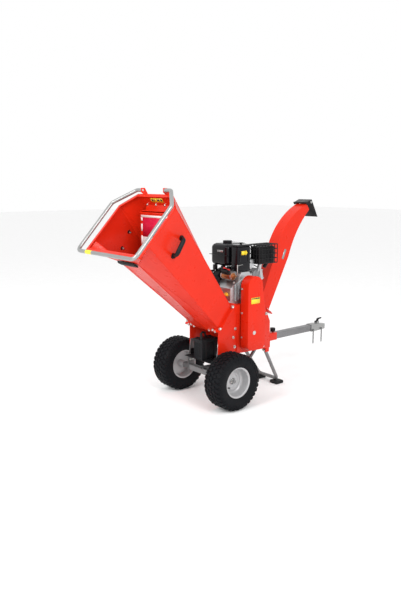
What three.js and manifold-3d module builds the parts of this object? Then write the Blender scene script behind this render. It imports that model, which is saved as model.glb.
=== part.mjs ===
// Towed wood chipper: a steel chassis on two turf wheels carries a rotor housing, a folding
// feed hopper, a discharge chute, a petrol engine with a belt drive, a battery, a drawbar with
// a ball coupler and a folding stand.  Millimetres, +X towards the drawbar, +Y across the
// machine away from the belt guard, +Z up.
import * as THREE from "three";
import { ConvexGeometry } from "three/addons/geometries/ConvexGeometry.js";
import { mergeVertices } from "three/addons/utils/BufferGeometryUtils.js";
import Module from "manifold-3d";

// ---------------------------------------------------------------- driving dimensions
const GAP = 0.4; // between touching pieces
const SHEET = 4; // chassis and rotor housing plate
const THIN_SHEET = 3; // hopper, chute and guard plate

// wheels and axle
const TYRE_R = 203;
const TYRE_W = 160;
const TYRE_BEAD_W = 136;
const RIM_R = 102; // bead seat
const RIM_FLANGE_R = 110;
const HUB_R = 24;
const HUB_LENGTH = 75;
const HUB_INSET = 60; // hub end inside the outer rim flange
const SPINDLE_R = 12.5;
const TRACK = 607;
const AXLE_BOX = 40; // square axle tube

// chassis, measured from the axle line
const BODY_HALF_W = 163;
const BODY_FRONT_X = -8;
const BODY_REAR_X = 511;
const BODY_BOTTOM_Z = 330;
const DECK_Z = 700;

// rotor and its housing
const ROTOR_X = 262;
const ROTOR_Z = 499;
const ROTOR_R = 140;
const ROTOR_SPACE = 17; // rotor to housing
const ROTOR_SHAFT_R = 17.5;
const CHUTE_W = 105;

// throat: the frame where the hopper meets the housing, leaning back from its lower edge
const THROAT_LOW_X = -6;
const THROAT_LOW_Z = 553;
const THROAT_TILT = 50.3; // degrees from level
const THROAT_HEIGHT = 183;
const THROAT_HALF_W = 165;
const THROAT_TOP_HALF_W = 115;
const THROAT_FLANGE = 30;

// hopper mouth
const MOUTH_LOW_X = -769;
const MOUTH_LOW_Z = 1122;
const MOUTH_TILT = 47;
const MOUTH_HALF_W = 325;
const MOUTH_SIDE = 397;
const MOUTH_CHAMFER_RISE = 108;
const MOUTH_TOP_HALF_W = 195;
const MOUTH_HEM = 22; // hem turned in around the mouth
const CREASE_START = 91; // side crease, up the mouth's side from its lower corner
const TRAY_DEPTH = 137;
const TRAY_DROP = 70;
const KEEL_HALF_W = 100;
const KEEL_END_HALF_W = 65;
const KEEL_DROP = 33;

// stop bar round the mouth
const STOP_BAR_R = 13;
const STOP_BAR_WALL = 2.5;
const STOP_BAR_STAND_OFF = 52;
const STOP_BAR_SIDE_GAP = 5;
const STOP_BAR_END_HALF_W = 128;

// feed flap
const FLAP_X = -400;
const FLAP_TOP_Z = 1364;
const FLAP_HALF_W = 205;
const FLAP_LENGTH = 350;

// chute
const CHUTE_BASE_TILT = 37;
const CHUTE_BASE_X = 555;
const CHUTE_BASE_Z = 615.5;
const CHUTE_BASE_DEPTH = 115;
const CHUTE_NECK_LEAN = 27.6; // rear wall, degrees from upright
const CHUTE_NECK_LENGTH = 471;
const CHUTE_DEPTH = 150;
const CHUTE_LEAN = 18;
const CHUTE_FRONT_R = 573;
const CHUTE_FRONT_SWEEP = 51;
const CHUTE_BACK_R = 846;
const CHUTE_BACK_SWEEP = 29;
const DEFLECTOR_HALF_W = 68;
const DEFLECTOR_TOP = 66;
const DEFLECTOR_FLAP = 160;

// belt drive
const CASE_LEFT_X = 143; // crankcase side nearest the hopper
const CRANK_RISE = 134; // crankshaft above the deck
const GUARD_SET_OUT = 9; // guard's back edge, out from the side plate
const GUARD_DEPTH = 78;
const GUARD_TOP_R = 72.5;
const GUARD_LOWER_W = 172;
const GUARD_BOTTOM_Z = 368;
const GUARD_CORNER_R = 38;
const BELT_SET_OUT = 47; // middle of the belt, out from the side plate
const BELT_W = 30;
const BELT_THICK = 8;
const ENGINE_PULLEY_R = 46;
const ROTOR_PULLEY_R = 52;

// engine
const CASE_W = 250;
const CASE_FRONT_Y = -120;
const CASE_DEPTH = 180;
const CYLINDER_LEAN = 12; // above level
const TANK = [234, 190, 160];
const MUFFLER = [162, 96, 130];
const AIR_BOX = [130, 72, 180];

// drawbar and stand
const DRAWBAR_Z = 361;
const DRAWBAR_BOX = 50;
const DRAWBAR_WALL = 3;
const DRAWBAR_START_X = 560;
const DRAWBAR_END_X = 1216;
const RECEIVER_END_X = 731;
const COUPLER_NOSE = 124;
const BALL_R = 25;
const STAND_TUBE_R = 13.5;
const STAND_HALF_W = 100;
const STAND_X = 668;
const FOOT = [78, 78, 24];
const STRUT_R = 13;
const STRUT_BEND_X = 455;
const STRUT_END_X = 554;

// battery
const BATTERY = [150, 96, 150];

const TYRE_FACETS = 36;
const RIM_FACETS = 28;
const FACETS = 32;
const SMALL_FACETS = 16;

// ---------------------------------------------------------------- materials
const paint = (color, roughness = 0.35) =>
  new THREE.MeshStandardMaterial({ color, roughness, metalness: 0.1 });
const metal = (color, roughness = 0.4) =>
  new THREE.MeshStandardMaterial({ color, roughness, metalness: 0.9 });
const plastic = (color, roughness = 0.55) =>
  new THREE.MeshStandardMaterial({ color, roughness, metalness: 0 });
const RED = paint(0xe8281c);
const BLACK_PAINT = paint(0x17181a, 0.4);
const GREY_TUBE = metal(0x9a9da0, 0.5);
const ZINC = metal(0xb4b8bb, 0.45);
const CAST_ALUMINIUM = metal(0xa9acae, 0.55);
const STEEL = metal(0x8b8f93, 0.35);
const RIM_PAINT = paint(0xb8babd, 0.45);
const TYRE_RUBBER = plastic(0x17181a, 0.9);
const RUBBER = plastic(0x1d1d1f, 0.85);
const BLACK_PLASTIC = plastic(0x1b1c1f, 0.5);
const YELLOW_PLASTIC = plastic(0xe0c020, 0.5);
const RED_PLASTIC = plastic(0xb8202a, 0.5);
const COPPER_BRONZE = metal(0xa05a34, 0.45);

// ---------------------------------------------------------------- solid tools
const wasm = await Module();
wasm.setup();

const radians = THREE.MathUtils.degToRad;
const V3 = (x, y, z) => new THREE.Vector3(x, y, z);

function toSolid(geometry) {
  let bare = geometry.clone();
  for (const name of ["normal", "uv", "color"]) bare.deleteAttribute(name);
  bare = mergeVertices(bare, 1e-4);
  return new wasm.Manifold(
    new wasm.Mesh({
      numProp: 3,
      vertProperties: new Float32Array(bare.attributes.position.array),
      triVerts: new Uint32Array(bare.index.array),
    }),
  );
}

function toGeometry(solid) {
  const mesh = solid.getMesh();
  const geometry = new THREE.BufferGeometry();
  geometry.setAttribute("position", new THREE.BufferAttribute(mesh.vertProperties, 3));
  geometry.setIndex(new THREE.BufferAttribute(mesh.triVerts, 1));
  return geometry;
}

// pieces welded into one; hair-thin pockets of air between overlapping plates are filled
function join(...geometries) {
  const whole = geometries.map(toSolid).reduce((sum, piece) => sum.add(piece));
  const shells = whole.decompose().filter((shell) => shell.volume() > 0);
  return toGeometry(shells.reduce((sum, shell) => sum.add(shell)));
}

const cut = (body, ...tools) =>
  toGeometry(tools.map(toSolid).reduce((whole, tool) => whole.subtract(tool), toSolid(body)));

// a box between two corners
function block(x0, x1, y0, y1, z0, z1) {
  const geometry = new THREE.BoxGeometry(x1 - x0, y1 - y0, z1 - z0);
  return geometry.translate((x0 + x1) / 2, (y0 + y1) / 2, (z0 + z1) / 2);
}

// a round bar from one point to another
function rod(from, to, radius, facets = SMALL_FACETS) {
  const along = new THREE.Vector3().subVectors(to, from);
  const geometry = new THREE.CylinderGeometry(radius, radius, along.length(), facets);
  const turn = new THREE.Quaternion().setFromUnitVectors(V3(0, 1, 0), along.clone().normalize());
  geometry.applyQuaternion(turn);
  const middle = new THREE.Vector3().addVectors(from, to).multiplyScalar(0.5);
  return geometry.translate(middle.x, middle.y, middle.z);
}

const rodY = (x, z, y0, y1, radius, facets = SMALL_FACETS) =>
  rod(V3(x, y0, z), V3(x, y1, z), radius, facets);

// an outline of [x, z] points, drawn upright and stretched across the machine from y0 to y1
function slab(outline, y0, y1, holes = []) {
  const shape = new THREE.Shape(outline.map(([x, z]) => new THREE.Vector2(x, z)));
  for (const hole of holes) {
    shape.holes.push(new THREE.Path(hole.map(([x, z]) => new THREE.Vector2(x, z))));
  }
  const geometry = new THREE.ExtrudeGeometry(shape, { depth: y1 - y0, bevelEnabled: false });
  return geometry.rotateX(Math.PI / 2).translate(0, y1, 0);
}

// points on an arc, angles in degrees from +X towards +Z
function arc(x, z, radius, start, end, steps) {
  return Array.from({ length: steps + 1 }, (_, i) => {
    const angle = radians(start + ((end - start) * i) / steps);
    return [x + radius * Math.cos(angle), z + radius * Math.sin(angle)];
  });
}

const circle = (x, z, radius, steps = SMALL_FACETS) =>
  arc(x, z, radius, 0, 360 - 360 / steps, steps - 1);

// a flat sheet-metal panel: its outer face is the given polygon, its thickness goes inwards
function panel(points, inside, thickness = THIN_SHEET) {
  const normal = new THREE.Vector3()
    .subVectors(points[1], points[0])
    .cross(new THREE.Vector3().subVectors(points[2], points[0]))
    .normalize();
  if (normal.dot(new THREE.Vector3().subVectors(inside, points[0])) < 0) normal.negate();
  const inner = points.map((p) => p.clone().addScaledVector(normal, thickness));
  return new ConvexGeometry([...points, ...inner]);
}

const quad = (a, b, c, d, inside) => [panel([a, b, c], inside), panel([a, c, d], inside)];

const hull = (points) => new ConvexGeometry(points);

// a closed ring of revolution about Y, from [radius, y] points
function turned(profile, facets = FACETS) {
  return new THREE.LatheGeometry(
    profile.map(([r, y]) => new THREE.Vector2(r, y)),
    facets,
  );
}

// a path through corner points with each inner corner rounded to a bend radius
class BentPath extends THREE.Curve {
  constructor(corners, bend, stepsPerBend = 4) {
    super();
    this.stops = [corners[0]];
    for (let i = 1; i < corners.length - 1; i += 1) {
      const back = new THREE.Vector3().subVectors(corners[i - 1], corners[i]).normalize();
      const on = new THREE.Vector3().subVectors(corners[i + 1], corners[i]).normalize();
      const half = back.angleTo(on) / 2;
      const reach = bend / Math.tan(half);
      const centreWay = new THREE.Vector3().addVectors(back, on).normalize();
      const centre = corners[i].clone().addScaledVector(centreWay, bend / Math.sin(half));
      const start = corners[i].clone().addScaledVector(back, reach).sub(centre);
      const axis = new THREE.Vector3().crossVectors(start, centreWay.clone().negate()).normalize();
      for (let k = 0; k <= stepsPerBend; k += 1) {
        const turn = ((Math.PI - 2 * half) * k) / stepsPerBend;
        this.stops.push(start.clone().applyAxisAngle(axis, turn).add(centre));
      }
    }
    this.stops.push(corners[corners.length - 1]);
  }

  get steps() {
    return this.stops.length - 1;
  }

  getPoint(t) {
    const place = Math.min(Math.max(t, 0), 1) * this.steps;
    const i = Math.min(Math.floor(place + 1e-6), this.steps - 1);
    return this.stops[i].clone().lerp(this.stops[i + 1], place - i);
  }

  getPointAt(u) {
    return this.getPoint(u);
  }

  getTangentAt(u) {
    const i = Math.round(u * this.steps);
    const before = this.stops[Math.max(i - 1, 0)];
    const after = this.stops[Math.min(i + 1, this.steps)];
    const here = this.stops[i];
    const inWay = new THREE.Vector3().subVectors(here, before).normalize();
    const outWay = new THREE.Vector3().subVectors(after, here).normalize();
    return inWay.add(outWay).normalize();
  }
}

// a bent tube or bar; wall 0 makes it solid
function bentTube(corners, radius, bend, { wall = 0, sides = 10, perBend = 4 } = {}) {
  const path = new BentPath(corners, bend, perBend);
  const shape = new THREE.Shape(circle(0, 0, radius, sides).map(([a, b]) => new THREE.Vector2(a, b)));
  if (wall > 0) {
    const bore = circle(0, 0, radius - wall, sides).map(([a, b]) => new THREE.Vector2(a, b));
    shape.holes.push(new THREE.Path(bore));
  }
  return new THREE.ExtrudeGeometry(shape, {
    steps: path.steps,
    bevelEnabled: false,
    extrudePath: path,
  });
}

// a box with its four upright edges rounded
function roundedBlock(x0, x1, y0, y1, z0, z1, radius, steps = 3) {
  const corner = (x, y, start) => arc(x, y, radius, start, start + 90, steps);
  const outline = [
    ...corner(x1 - radius, y1 - radius, 0),
    ...corner(x0 + radius, y1 - radius, 90),
    ...corner(x0 + radius, y0 + radius, 180),
    ...corner(x1 - radius, y0 + radius, 270),
  ];
  const shape = new THREE.Shape(outline.map(([x, y]) => new THREE.Vector2(x, y)));
  const geometry = new THREE.ExtrudeGeometry(shape, { depth: z1 - z0, bevelEnabled: false });
  return geometry.translate(0, 0, z0);
}

// ---------------------------------------------------------------- the machine's group
const chipper = new THREE.Group();
chipper.name = "wood_chipper";

function add(name, geometry, material, parent = chipper) {
  const mesh = new THREE.Mesh(geometry, material);
  mesh.name = name;
  parent.add(mesh);
  return mesh;
}

const SIDES = [
  ["near", -1],
  ["far", 1],
];
const crankZ = DECK_Z + CRANK_RISE;
const crankX = CASE_LEFT_X + CASE_W / 2;
const guardBackY = BODY_HALF_W + GUARD_SET_OUT;
const beltY = BODY_HALF_W + BELT_SET_OUT;

// ---------------------------------------------------------------- wheels and axle
const wheelY = TRACK / 2;
const rimHalfW = TYRE_BEAD_W / 2;
const hubOuter = wheelY + rimHalfW - HUB_INSET;
const hubInner = hubOuter - HUB_LENGTH;

function tyreGeometry() {
  const half = TYRE_W / 2;
  const bead = rimHalfW - 6;
  const seat = RIM_R + GAP;
  const shoulder = TYRE_R - 24;
  return turned([
    [seat, -bead],
    [RIM_FLANGE_R + 4, -bead - 1],
    [RIM_FLANGE_R + 30, -half + 4],
    [shoulder, -half],
    [TYRE_R - 8, -half + 14],
    [TYRE_R, -half + 38],
    [TYRE_R, half - 38],
    [TYRE_R - 8, half - 14],
    [shoulder, half],
    [RIM_FLANGE_R + 30, half - 4],
    [RIM_FLANGE_R + 4, bead + 1],
    [seat, bead],
    [seat, -bead],
  ], TYRE_FACETS);
}

function rimGeometry() {
  const wall = 3;
  const disc = 8;
  const inner = hubInner - wheelY;
  const outer = hubOuter - wheelY;
  const bore = SPINDLE_R + GAP;
  return turned([
    [bore, inner],
    [HUB_R, inner],
    [HUB_R, -disc],
    [RIM_R - wall - 8, -disc],
    [RIM_R - wall, -rimHalfW + 12],
    [RIM_R - wall, -rimHalfW],
    [RIM_FLANGE_R, -rimHalfW],
    [RIM_FLANGE_R, -rimHalfW + wall],
    [RIM_R, -rimHalfW + wall + 1],
    [RIM_R, rimHalfW - wall - 1],
    [RIM_FLANGE_R, rimHalfW - wall],
    [RIM_FLANGE_R, rimHalfW],
    [RIM_R - wall, rimHalfW],
    [RIM_R - wall, rimHalfW - 12],
    [RIM_R - wall - 8, 0],
    [HUB_R, 0],
    [HUB_R, outer],
    [bore, outer],
    [bore, inner],
  ], RIM_FACETS);
}

for (const [side, sign] of SIDES) {
  const wheel = new THREE.Group();
  wheel.position.set(0, sign * wheelY, TYRE_R);
  if (sign < 0) wheel.rotation.z = Math.PI;
  chipper.add(wheel);
  add(`tyre_${side}`, tyreGeometry(), TYRE_RUBBER, wheel);
  add(`rim_${side}`, rimGeometry(), RIM_PAINT, wheel);
}

// the axle, its two height brackets and the tube that ties it to the drawbar, one weldment
const axleHalf = hubInner - 6;
const axleTop = TYRE_R + AXLE_BOX / 2;
const axleLow = TYRE_R - AXLE_BOX / 2;
const insideHalf = BODY_HALF_W - SHEET - GAP;
const socketHalf = DRAWBAR_BOX / 2 + 1;
const receiverLow = DRAWBAR_Z - socketHalf - SHEET;

const bracketThick = 6;

function axleBracket(sign) {
  return slab(
    [
      [-30, axleLow - 6],
      [30, axleLow - 6],
      [30, axleTop + 30],
      [22, BODY_BOTTOM_Z + 90],
      [-4, BODY_BOTTOM_Z + 90],
      [-30, axleTop + 30],
    ],
    sign > 0 ? insideHalf - bracketThick : -insideHalf,
    sign > 0 ? insideHalf : -insideHalf + bracketThick,
    [circle(6, axleTop + 35, 7, 10), circle(6, axleTop + 65, 7, 10)],
  );
}

function axleGeometry() {
  const beam = block(-AXLE_BOX / 2, AXLE_BOX / 2, -axleHalf, axleHalf, axleLow, axleTop);
  const spindles = rodY(0, TYRE_R, -hubOuter - 20, hubOuter + 20, SPINDLE_R);
  const strutZ = axleTop + STRUT_R - 2;
  const strut = bentTube(
    [
      V3(-30, 0, strutZ),
      V3(STRUT_BEND_X, 0, strutZ - 20),
      V3(STRUT_END_X, 0, receiverLow - GAP - STRUT_R * 0.8),
    ],
    STRUT_R,
    50,
    { wall: 2.5, sides: 10, perBend: 4 },
  );
  return join(beam, spindles, axleBracket(-1), axleBracket(1), strut);
}
add("axle", axleGeometry(), GREY_TUBE);

// ---------------------------------------------------------------- throat frame of reference
const throatAngle = radians(THROAT_TILT);
const throatPoint = (along, y, out = 0) =>
  V3(
    THROAT_LOW_X + along * Math.cos(throatAngle) - out * Math.sin(throatAngle),
    y,
    THROAT_LOW_Z + along * Math.sin(throatAngle) + out * Math.cos(throatAngle),
  );

// four corners of a rectangle on the throat plane, from s0 to s1 up it
const rectangle = (s0, s1, half) => [
  [s0, -half],
  [s1, -half],
  [s1, half],
  [s0, half],
];

// a plate standing on the throat plane, with its hole where `holeOutline` says
function throatPlateGeometry(out, holeOutline = []) {
  const reach = THROAT_HALF_W + THROAT_FLANGE;
  const outline = rectangle(-THROAT_FLANGE, THROAT_HEIGHT + THROAT_FLANGE, reach);
  const shape = new THREE.Shape(outline.map(([s, y]) => new THREE.Vector2(s, y)));
  if (holeOutline.length > 0) {
    shape.holes.push(new THREE.Path(holeOutline.map(([s, y]) => new THREE.Vector2(s, y))));
  }
  const geometry = new THREE.ExtrudeGeometry(shape, { depth: SHEET, bevelEnabled: false });
  geometry.translate(0, 0, out);
  return geometry.rotateY(-throatAngle).translate(THROAT_LOW_X, 0, THROAT_LOW_Z);
}

// ---------------------------------------------------------------- chassis
const chuteBaseAngle = radians(CHUTE_BASE_TILT);
const chuteBase = (along, rise = 0) => [
  CHUTE_BASE_X + along * Math.cos(chuteBaseAngle) + rise * Math.sin(chuteBaseAngle),
  CHUTE_BASE_Z - along * Math.sin(chuteBaseAngle) + rise * Math.cos(chuteBaseAngle),
];
// the rotor housing's rear wall leans up to the chute; the body ends where the wall passes
const socketTop = DRAWBAR_Z + socketHalf + SHEET;
const housingRearX = (z) => {
  const [x, top] = chuteBase(CHUTE_BASE_DEPTH / 2 + SHEET, 0);
  return x - (top - z) * Math.tan(radians(CHUTE_NECK_LEAN)) + SHEET;
};
const bodyRearX = Math.max(BODY_REAR_X, housingRearX(socketTop));
const rearSlope = 60;
// the line just behind the throat plate, where the side plates and the deck stop
const behindThroat = throatPoint(0, 0, -SHEET - 2 * GAP);
const behindThroatZ = (x) => behindThroat.z + (x - behindThroat.x) * Math.tan(throatAngle);
const behindThroatX = (z) => behindThroat.x + (z - behindThroat.z) / Math.tan(throatAngle);
const sideTopZ = DECK_Z - SHEET - GAP;
const sideOutline = [
  [BODY_FRONT_X, BODY_BOTTOM_Z + 15],
  [bodyRearX, BODY_BOTTOM_Z],
  [bodyRearX, ROTOR_Z + 40],
  [bodyRearX - rearSlope, DECK_Z - 40],
  [bodyRearX - rearSlope, sideTopZ],
  [behindThroatX(sideTopZ), sideTopZ],
  [BODY_FRONT_X, behindThroatZ(BODY_FRONT_X)],
];
const shaftHole = ROTOR_SHAFT_R + 12;
const standTopX = bodyRearX - 20;
const standTopZ = BODY_BOTTOM_Z - STAND_TUBE_R - 6;

for (const [side, sign] of SIDES) {
  const outer = BODY_HALF_W;
  const plate = slab(
    sideOutline,
    sign > 0 ? outer - SHEET : -outer,
    sign > 0 ? outer : -outer + SHEET,
    [circle(ROTOR_X, ROTOR_Z, shaftHole)],
  );
  const flangeIn = 34;
  const frontFlange = block(
    BODY_FRONT_X + 172,
    BODY_FRONT_X + 172 + SHEET,
    sign > 0 ? outer - SHEET : -outer - 10,
    sign > 0 ? outer + 10 : -outer + SHEET,
    BODY_BOTTOM_Z + 30,
    DECK_Z - 2 * flangeIn,
  );
  const ear = block(
    standTopX - STAND_TUBE_R - 5,
    standTopX + STAND_TUBE_R + 5,
    sign > 0 ? outer - SHEET - 5 : -outer + SHEET / 2,
    sign > 0 ? outer - SHEET / 2 : -outer + SHEET + 5,
    standTopZ - 12,
    BODY_BOTTOM_Z + 20,
  );
  add(`side_plate_${side}`, join(plate, frontFlange, ear), RED);
}

const guardTopX = crankX + 3.5;
const rotorBeltReach = ROTOR_PULLEY_R + BELT_THICK;
const guardLeft = Math.min(guardTopX - GUARD_TOP_R, ROTOR_X - rotorBeltReach - 3);
function deckGeometry() {
  const deck = block(
    behindThroatX(DECK_Z) + 2,
    bodyRearX - rearSlope,
    -BODY_HALF_W,
    BODY_HALF_W,
    DECK_Z - SHEET,
    DECK_Z,
  );
  const tabX = [guardLeft + 27, guardLeft + 67];
  const tabY = -guardBackY + GAP;
  const foot = block(...tabX, tabY, -BODY_HALF_W + 2, DECK_Z - SHEET, DECK_Z);
  const tab = block(...tabX, tabY, tabY + SHEET, DECK_Z - SHEET, DECK_Z + 70);
  return join(deck, foot, tab);
}
add("engine_deck", deckGeometry(), RED);

// ---------------------------------------------------------------- rotor housing
const housingR = ROTOR_R + ROTOR_SPACE;

const housingHalf = CHUTE_W / 2;
const inletEdge = 14;
const FLANGE_OVER = 26;

// the space inside the housing; `grow` makes the shell round it and `past` runs it out
function housingSpace(grow, halfW, past) {
  const drum = rodY(ROTOR_X, ROTOR_Z, -halfW, halfW, housingR + grow, FACETS);
  const inletLow = throatPoint(inletEdge - grow, 0, -GAP - 1 + past);
  const inletHigh = throatPoint(THROAT_HEIGHT - inletEdge + grow, 0, -GAP - 1 + past);
  const inlet = slab(
    [
      [inletLow.x, inletLow.z],
      [inletHigh.x, inletHigh.z],
      [ROTOR_X, ROTOR_Z + housingR + grow],
      [ROTOR_X - 60, ROTOR_Z - 40],
    ],
    -halfW,
    halfW,
  );
  const half = CHUTE_BASE_DEPTH / 2 - THIN_SHEET + grow;
  const lean = radians(CHUTE_NECK_LEAN);
  const floorZ = ROTOR_Z - housingR - grow;
  const back = chuteBase(half, -1.2 + past);
  const front = chuteBase(-half, -1.2 + past);
  const run = (back[1] - floorZ - 20) / Math.cos(lean);
  const outlet = slab(
    [
      front,
      [ROTOR_X + 40, ROTOR_Z + housingR + grow - 10],
      [ROTOR_X, ROTOR_Z],
      [ROTOR_X, floorZ],
      [back[0] - run * Math.sin(lean) - 30, floorZ],
      [back[0] - run * Math.sin(lean), back[1] - run * Math.cos(lean)],
      back,
    ],
    -halfW,
    halfW,
  );
  return join(drum, inlet, outlet);
}

// a plate square to the chute's foot, wider than the chute all round
function chutePlate(rise) {
  const reach = CHUTE_BASE_DEPTH / 2 + FLANGE_OVER;
  return slab(
    [
      chuteBase(-reach, rise),
      chuteBase(reach, rise),
      chuteBase(reach, rise + SHEET),
      chuteBase(-reach, rise + SHEET),
    ],
    -CHUTE_W / 2 - FLANGE_OVER,
    CHUTE_W / 2 + FLANGE_OVER,
  );
}

// the shell with its throat plate in front and the chute's seat on top
function housingGeometry() {
  const throatPlate = throatPlateGeometry(-SHEET - GAP);
  return cut(
    join(housingSpace(SHEET, housingHalf + SHEET, 0), throatPlate, chutePlate(-SHEET - 0.2)),
    housingSpace(0, housingHalf, 20),
    rodY(ROTOR_X, ROTOR_Z, -housingHalf - 20, housingHalf + 20, shaftHole),
  );
}
add("rotor_housing", housingGeometry(), RED);

const shaftNear = -beltY - BELT_W / 2 - 8;
const shaftFar = BODY_HALF_W + 30;
const knifeSeats = [0, 180];
function rotorGeometry() {
  const half = housingHalf - 6;
  const drum = rodY(ROTOR_X, ROTOR_Z, -half, half, ROTOR_R - 14, FACETS);
  const shaft = rodY(ROTOR_X, ROTOR_Z, -BODY_HALF_W - 5, shaftFar, ROTOR_SHAFT_R);
  const pockets = knifeSeats.map((turn) =>
    block(ROTOR_R - 42, ROTOR_R + 6, -half - 2, half + 2, -4, 26)
      .rotateY(-radians(turn))
      .translate(ROTOR_X, 0, ROTOR_Z),
  );
  return cut(join(drum, shaft), ...pockets);
}
add("rotor", rotorGeometry(), STEEL);
knifeSeats.forEach((turn, i) => {
  const half = housingHalf - 8;
  const knife = slab(
    [
      [ROTOR_R - 42 + GAP, -4 + GAP],
      [ROTOR_R - 6, -4 + GAP],
      [ROTOR_R - 1, -4 + GAP],
      [ROTOR_R - 12, 7],
      [ROTOR_R - 42 + GAP, 7],
    ],
    -half,
    half,
  );
  knife.rotateY(-radians(turn)).translate(ROTOR_X, 0, ROTOR_Z);
  add(`knife_${i + 1}`, knife, STEEL);
});

const anvilLow = throatPoint(inletEdge, 0, -SHEET - 2 * GAP);
add(
  "counter_knife",
  slab(
    [
      [anvilLow.x + 12, anvilLow.z + 10],
      [anvilLow.x + 92, anvilLow.z - 36],
      [anvilLow.x + 98, anvilLow.z - 28],
      [anvilLow.x + 16, anvilLow.z + 20],
    ],
    -housingHalf + 4,
    housingHalf - 4,
  ),
  STEEL,
);

for (const [side, sign] of SIDES) {
  const inner = BODY_HALF_W + GAP;
  const ring = [
    [-38, -38],
    [38, -38],
    [38, 38],
    [-38, 38],
  ].map(([a, b]) => [ROTOR_X + a, ROTOR_Z + b]);
  const from = sign > 0 ? inner : -inner - (guardBackY - BODY_HALF_W) + 2 * GAP;
  const to = sign > 0 ? inner + 22 : -inner;
  const bore = circle(ROTOR_X, ROTOR_Z, ROTOR_SHAFT_R + GAP);
  add(`rotor_bearing_${side}`, slab(ring, from, to, [bore]), CAST_ALUMINIUM);
}

// ---------------------------------------------------------------- belt drive
function pulleyGeometry(radius, bore) {
  const half = BELT_W / 2 + 5;
  const groove = radius - BELT_THICK + 2;
  return turned([
    [bore, -half],
    [radius, -half],
    [radius, -half + 4],
    [groove, -BELT_W / 2 - 0.5],
    [groove, BELT_W / 2 + 0.5],
    [radius, half - 4],
    [radius, half],
    [bore, half],
    [bore, -half],
  ]);
}

const pulleyOffset = -beltY;
const stubR = 12.5;
add(
  "engine_pulley",
  join(
    pulleyGeometry(ENGINE_PULLEY_R, stubR).translate(crankX, pulleyOffset, crankZ),
    rodY(crankX, crankZ, shaftNear, CASE_FRONT_Y - 14 - GAP, stubR + 1),
  ),
  STEEL,
);
add(
  "rotor_pulley",
  join(
    pulleyGeometry(ROTOR_PULLEY_R, stubR).translate(ROTOR_X, pulleyOffset, ROTOR_Z),
    rodY(ROTOR_X, ROTOR_Z, shaftNear, -BODY_HALF_W - 5 - GAP, stubR + 1),
  ),
  STEEL,
);

// the loop round both pulleys at a radius off each groove
function beltLoop(off) {
  const r1 = ENGINE_PULLEY_R - BELT_THICK + 2 + off;
  const r2 = ROTOR_PULLEY_R - BELT_THICK + 2 + off;
  const dx = crankX - ROTOR_X;
  const dz = crankZ - ROTOR_Z;
  const axisWay = THREE.MathUtils.radToDeg(Math.atan2(dz, dx));
  const spread = THREE.MathUtils.radToDeg(Math.acos((r2 - r1) / Math.hypot(dx, dz)));
  return [
    ...arc(crankX, crankZ, r1, axisWay - spread, axisWay + spread, 12),
    ...arc(ROTOR_X, ROTOR_Z, r2, axisWay + spread, axisWay + 360 - spread, 12),
  ];
}
add(
  "drive_belt",
  slab(
    beltLoop(1 + BELT_THICK),
    -beltY - BELT_W / 2,
    -beltY + BELT_W / 2,
    [beltLoop(1)],
  ),
  RUBBER,
);

function guardOutline(inset) {
  const top = GUARD_TOP_R - inset;
  const right = guardLeft + GUARD_LOWER_W - inset;
  const left = guardLeft + inset;
  const low = GUARD_BOTTOM_Z + inset;
  const r = GUARD_CORNER_R - inset;
  return [
    ...arc(guardTopX, crankZ + 4, top, 0, 180, 14),
    [left, ROTOR_Z + rotorBeltReach],
    ...arc(left + r, low + r, r, 180, 270, 4),
    ...arc(right - r, low + r, r, 270, 360, 4),
    [right, ROTOR_Z + 80],
  ];
}
const guardFace = -guardBackY - GUARD_DEPTH;
add(
  "belt_guard",
  cut(
    slab(guardOutline(0), guardFace, -guardBackY),
    slab(guardOutline(THIN_SHEET), guardFace + THIN_SHEET, -guardBackY + 10),
    rodY(ROTOR_X, ROTOR_Z, guardFace - 5, guardFace + 10, 9),
  ),
  RED,
);
// ---------------------------------------------------------------- hopper
const mouthAngle = radians(MOUTH_TILT);
const mouthPoint = (along, y, out = 0) =>
  V3(
    MOUTH_LOW_X + along * Math.cos(mouthAngle) - out * Math.sin(mouthAngle),
    y,
    MOUTH_LOW_Z + along * Math.sin(mouthAngle) + out * Math.cos(mouthAngle),
  );
const mouthTop = MOUTH_SIDE + MOUTH_CHAMFER_RISE;
const hopperMiddle = mouthPoint(mouthTop / 2, 0).lerp(throatPoint(THROAT_HEIGHT / 2, 0), 0.5);
const chamferFoot = THROAT_HEIGHT * 1.04;

const corner = (sign) => ({
  rim: mouthPoint(0, sign * MOUTH_HALF_W),
  bend: mouthPoint(MOUTH_SIDE, sign * MOUTH_HALF_W),
  top: mouthPoint(mouthTop, sign * MOUTH_TOP_HALF_W),
  crease: mouthPoint(CREASE_START, sign * MOUTH_HALF_W),
  tray: V3(MOUTH_LOW_X + TRAY_DEPTH, sign * KEEL_HALF_W, MOUTH_LOW_Z - TRAY_DROP),
  throatLow: throatPoint(0, sign * THROAT_HALF_W),
  throatBend: throatPoint(THROAT_HEIGHT, sign * THROAT_HALF_W),
  throatTop: throatPoint(chamferFoot, sign * THROAT_TOP_HALF_W),
  keelEnd: throatPoint(-KEEL_DROP, sign * KEEL_END_HALF_W),
});

function mouthOutline(grow) {
  const low = MOUTH_HALF_W + grow;
  return [
    [-grow, -low],
    [MOUTH_SIDE + grow * 0.5, -low],
    [mouthTop + grow, -MOUTH_TOP_HALF_W - grow * 0.5],
    [mouthTop + grow, MOUTH_TOP_HALF_W + grow * 0.5],
    [MOUTH_SIDE + grow * 0.5, low],
    [-grow, low],
  ];
}

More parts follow.
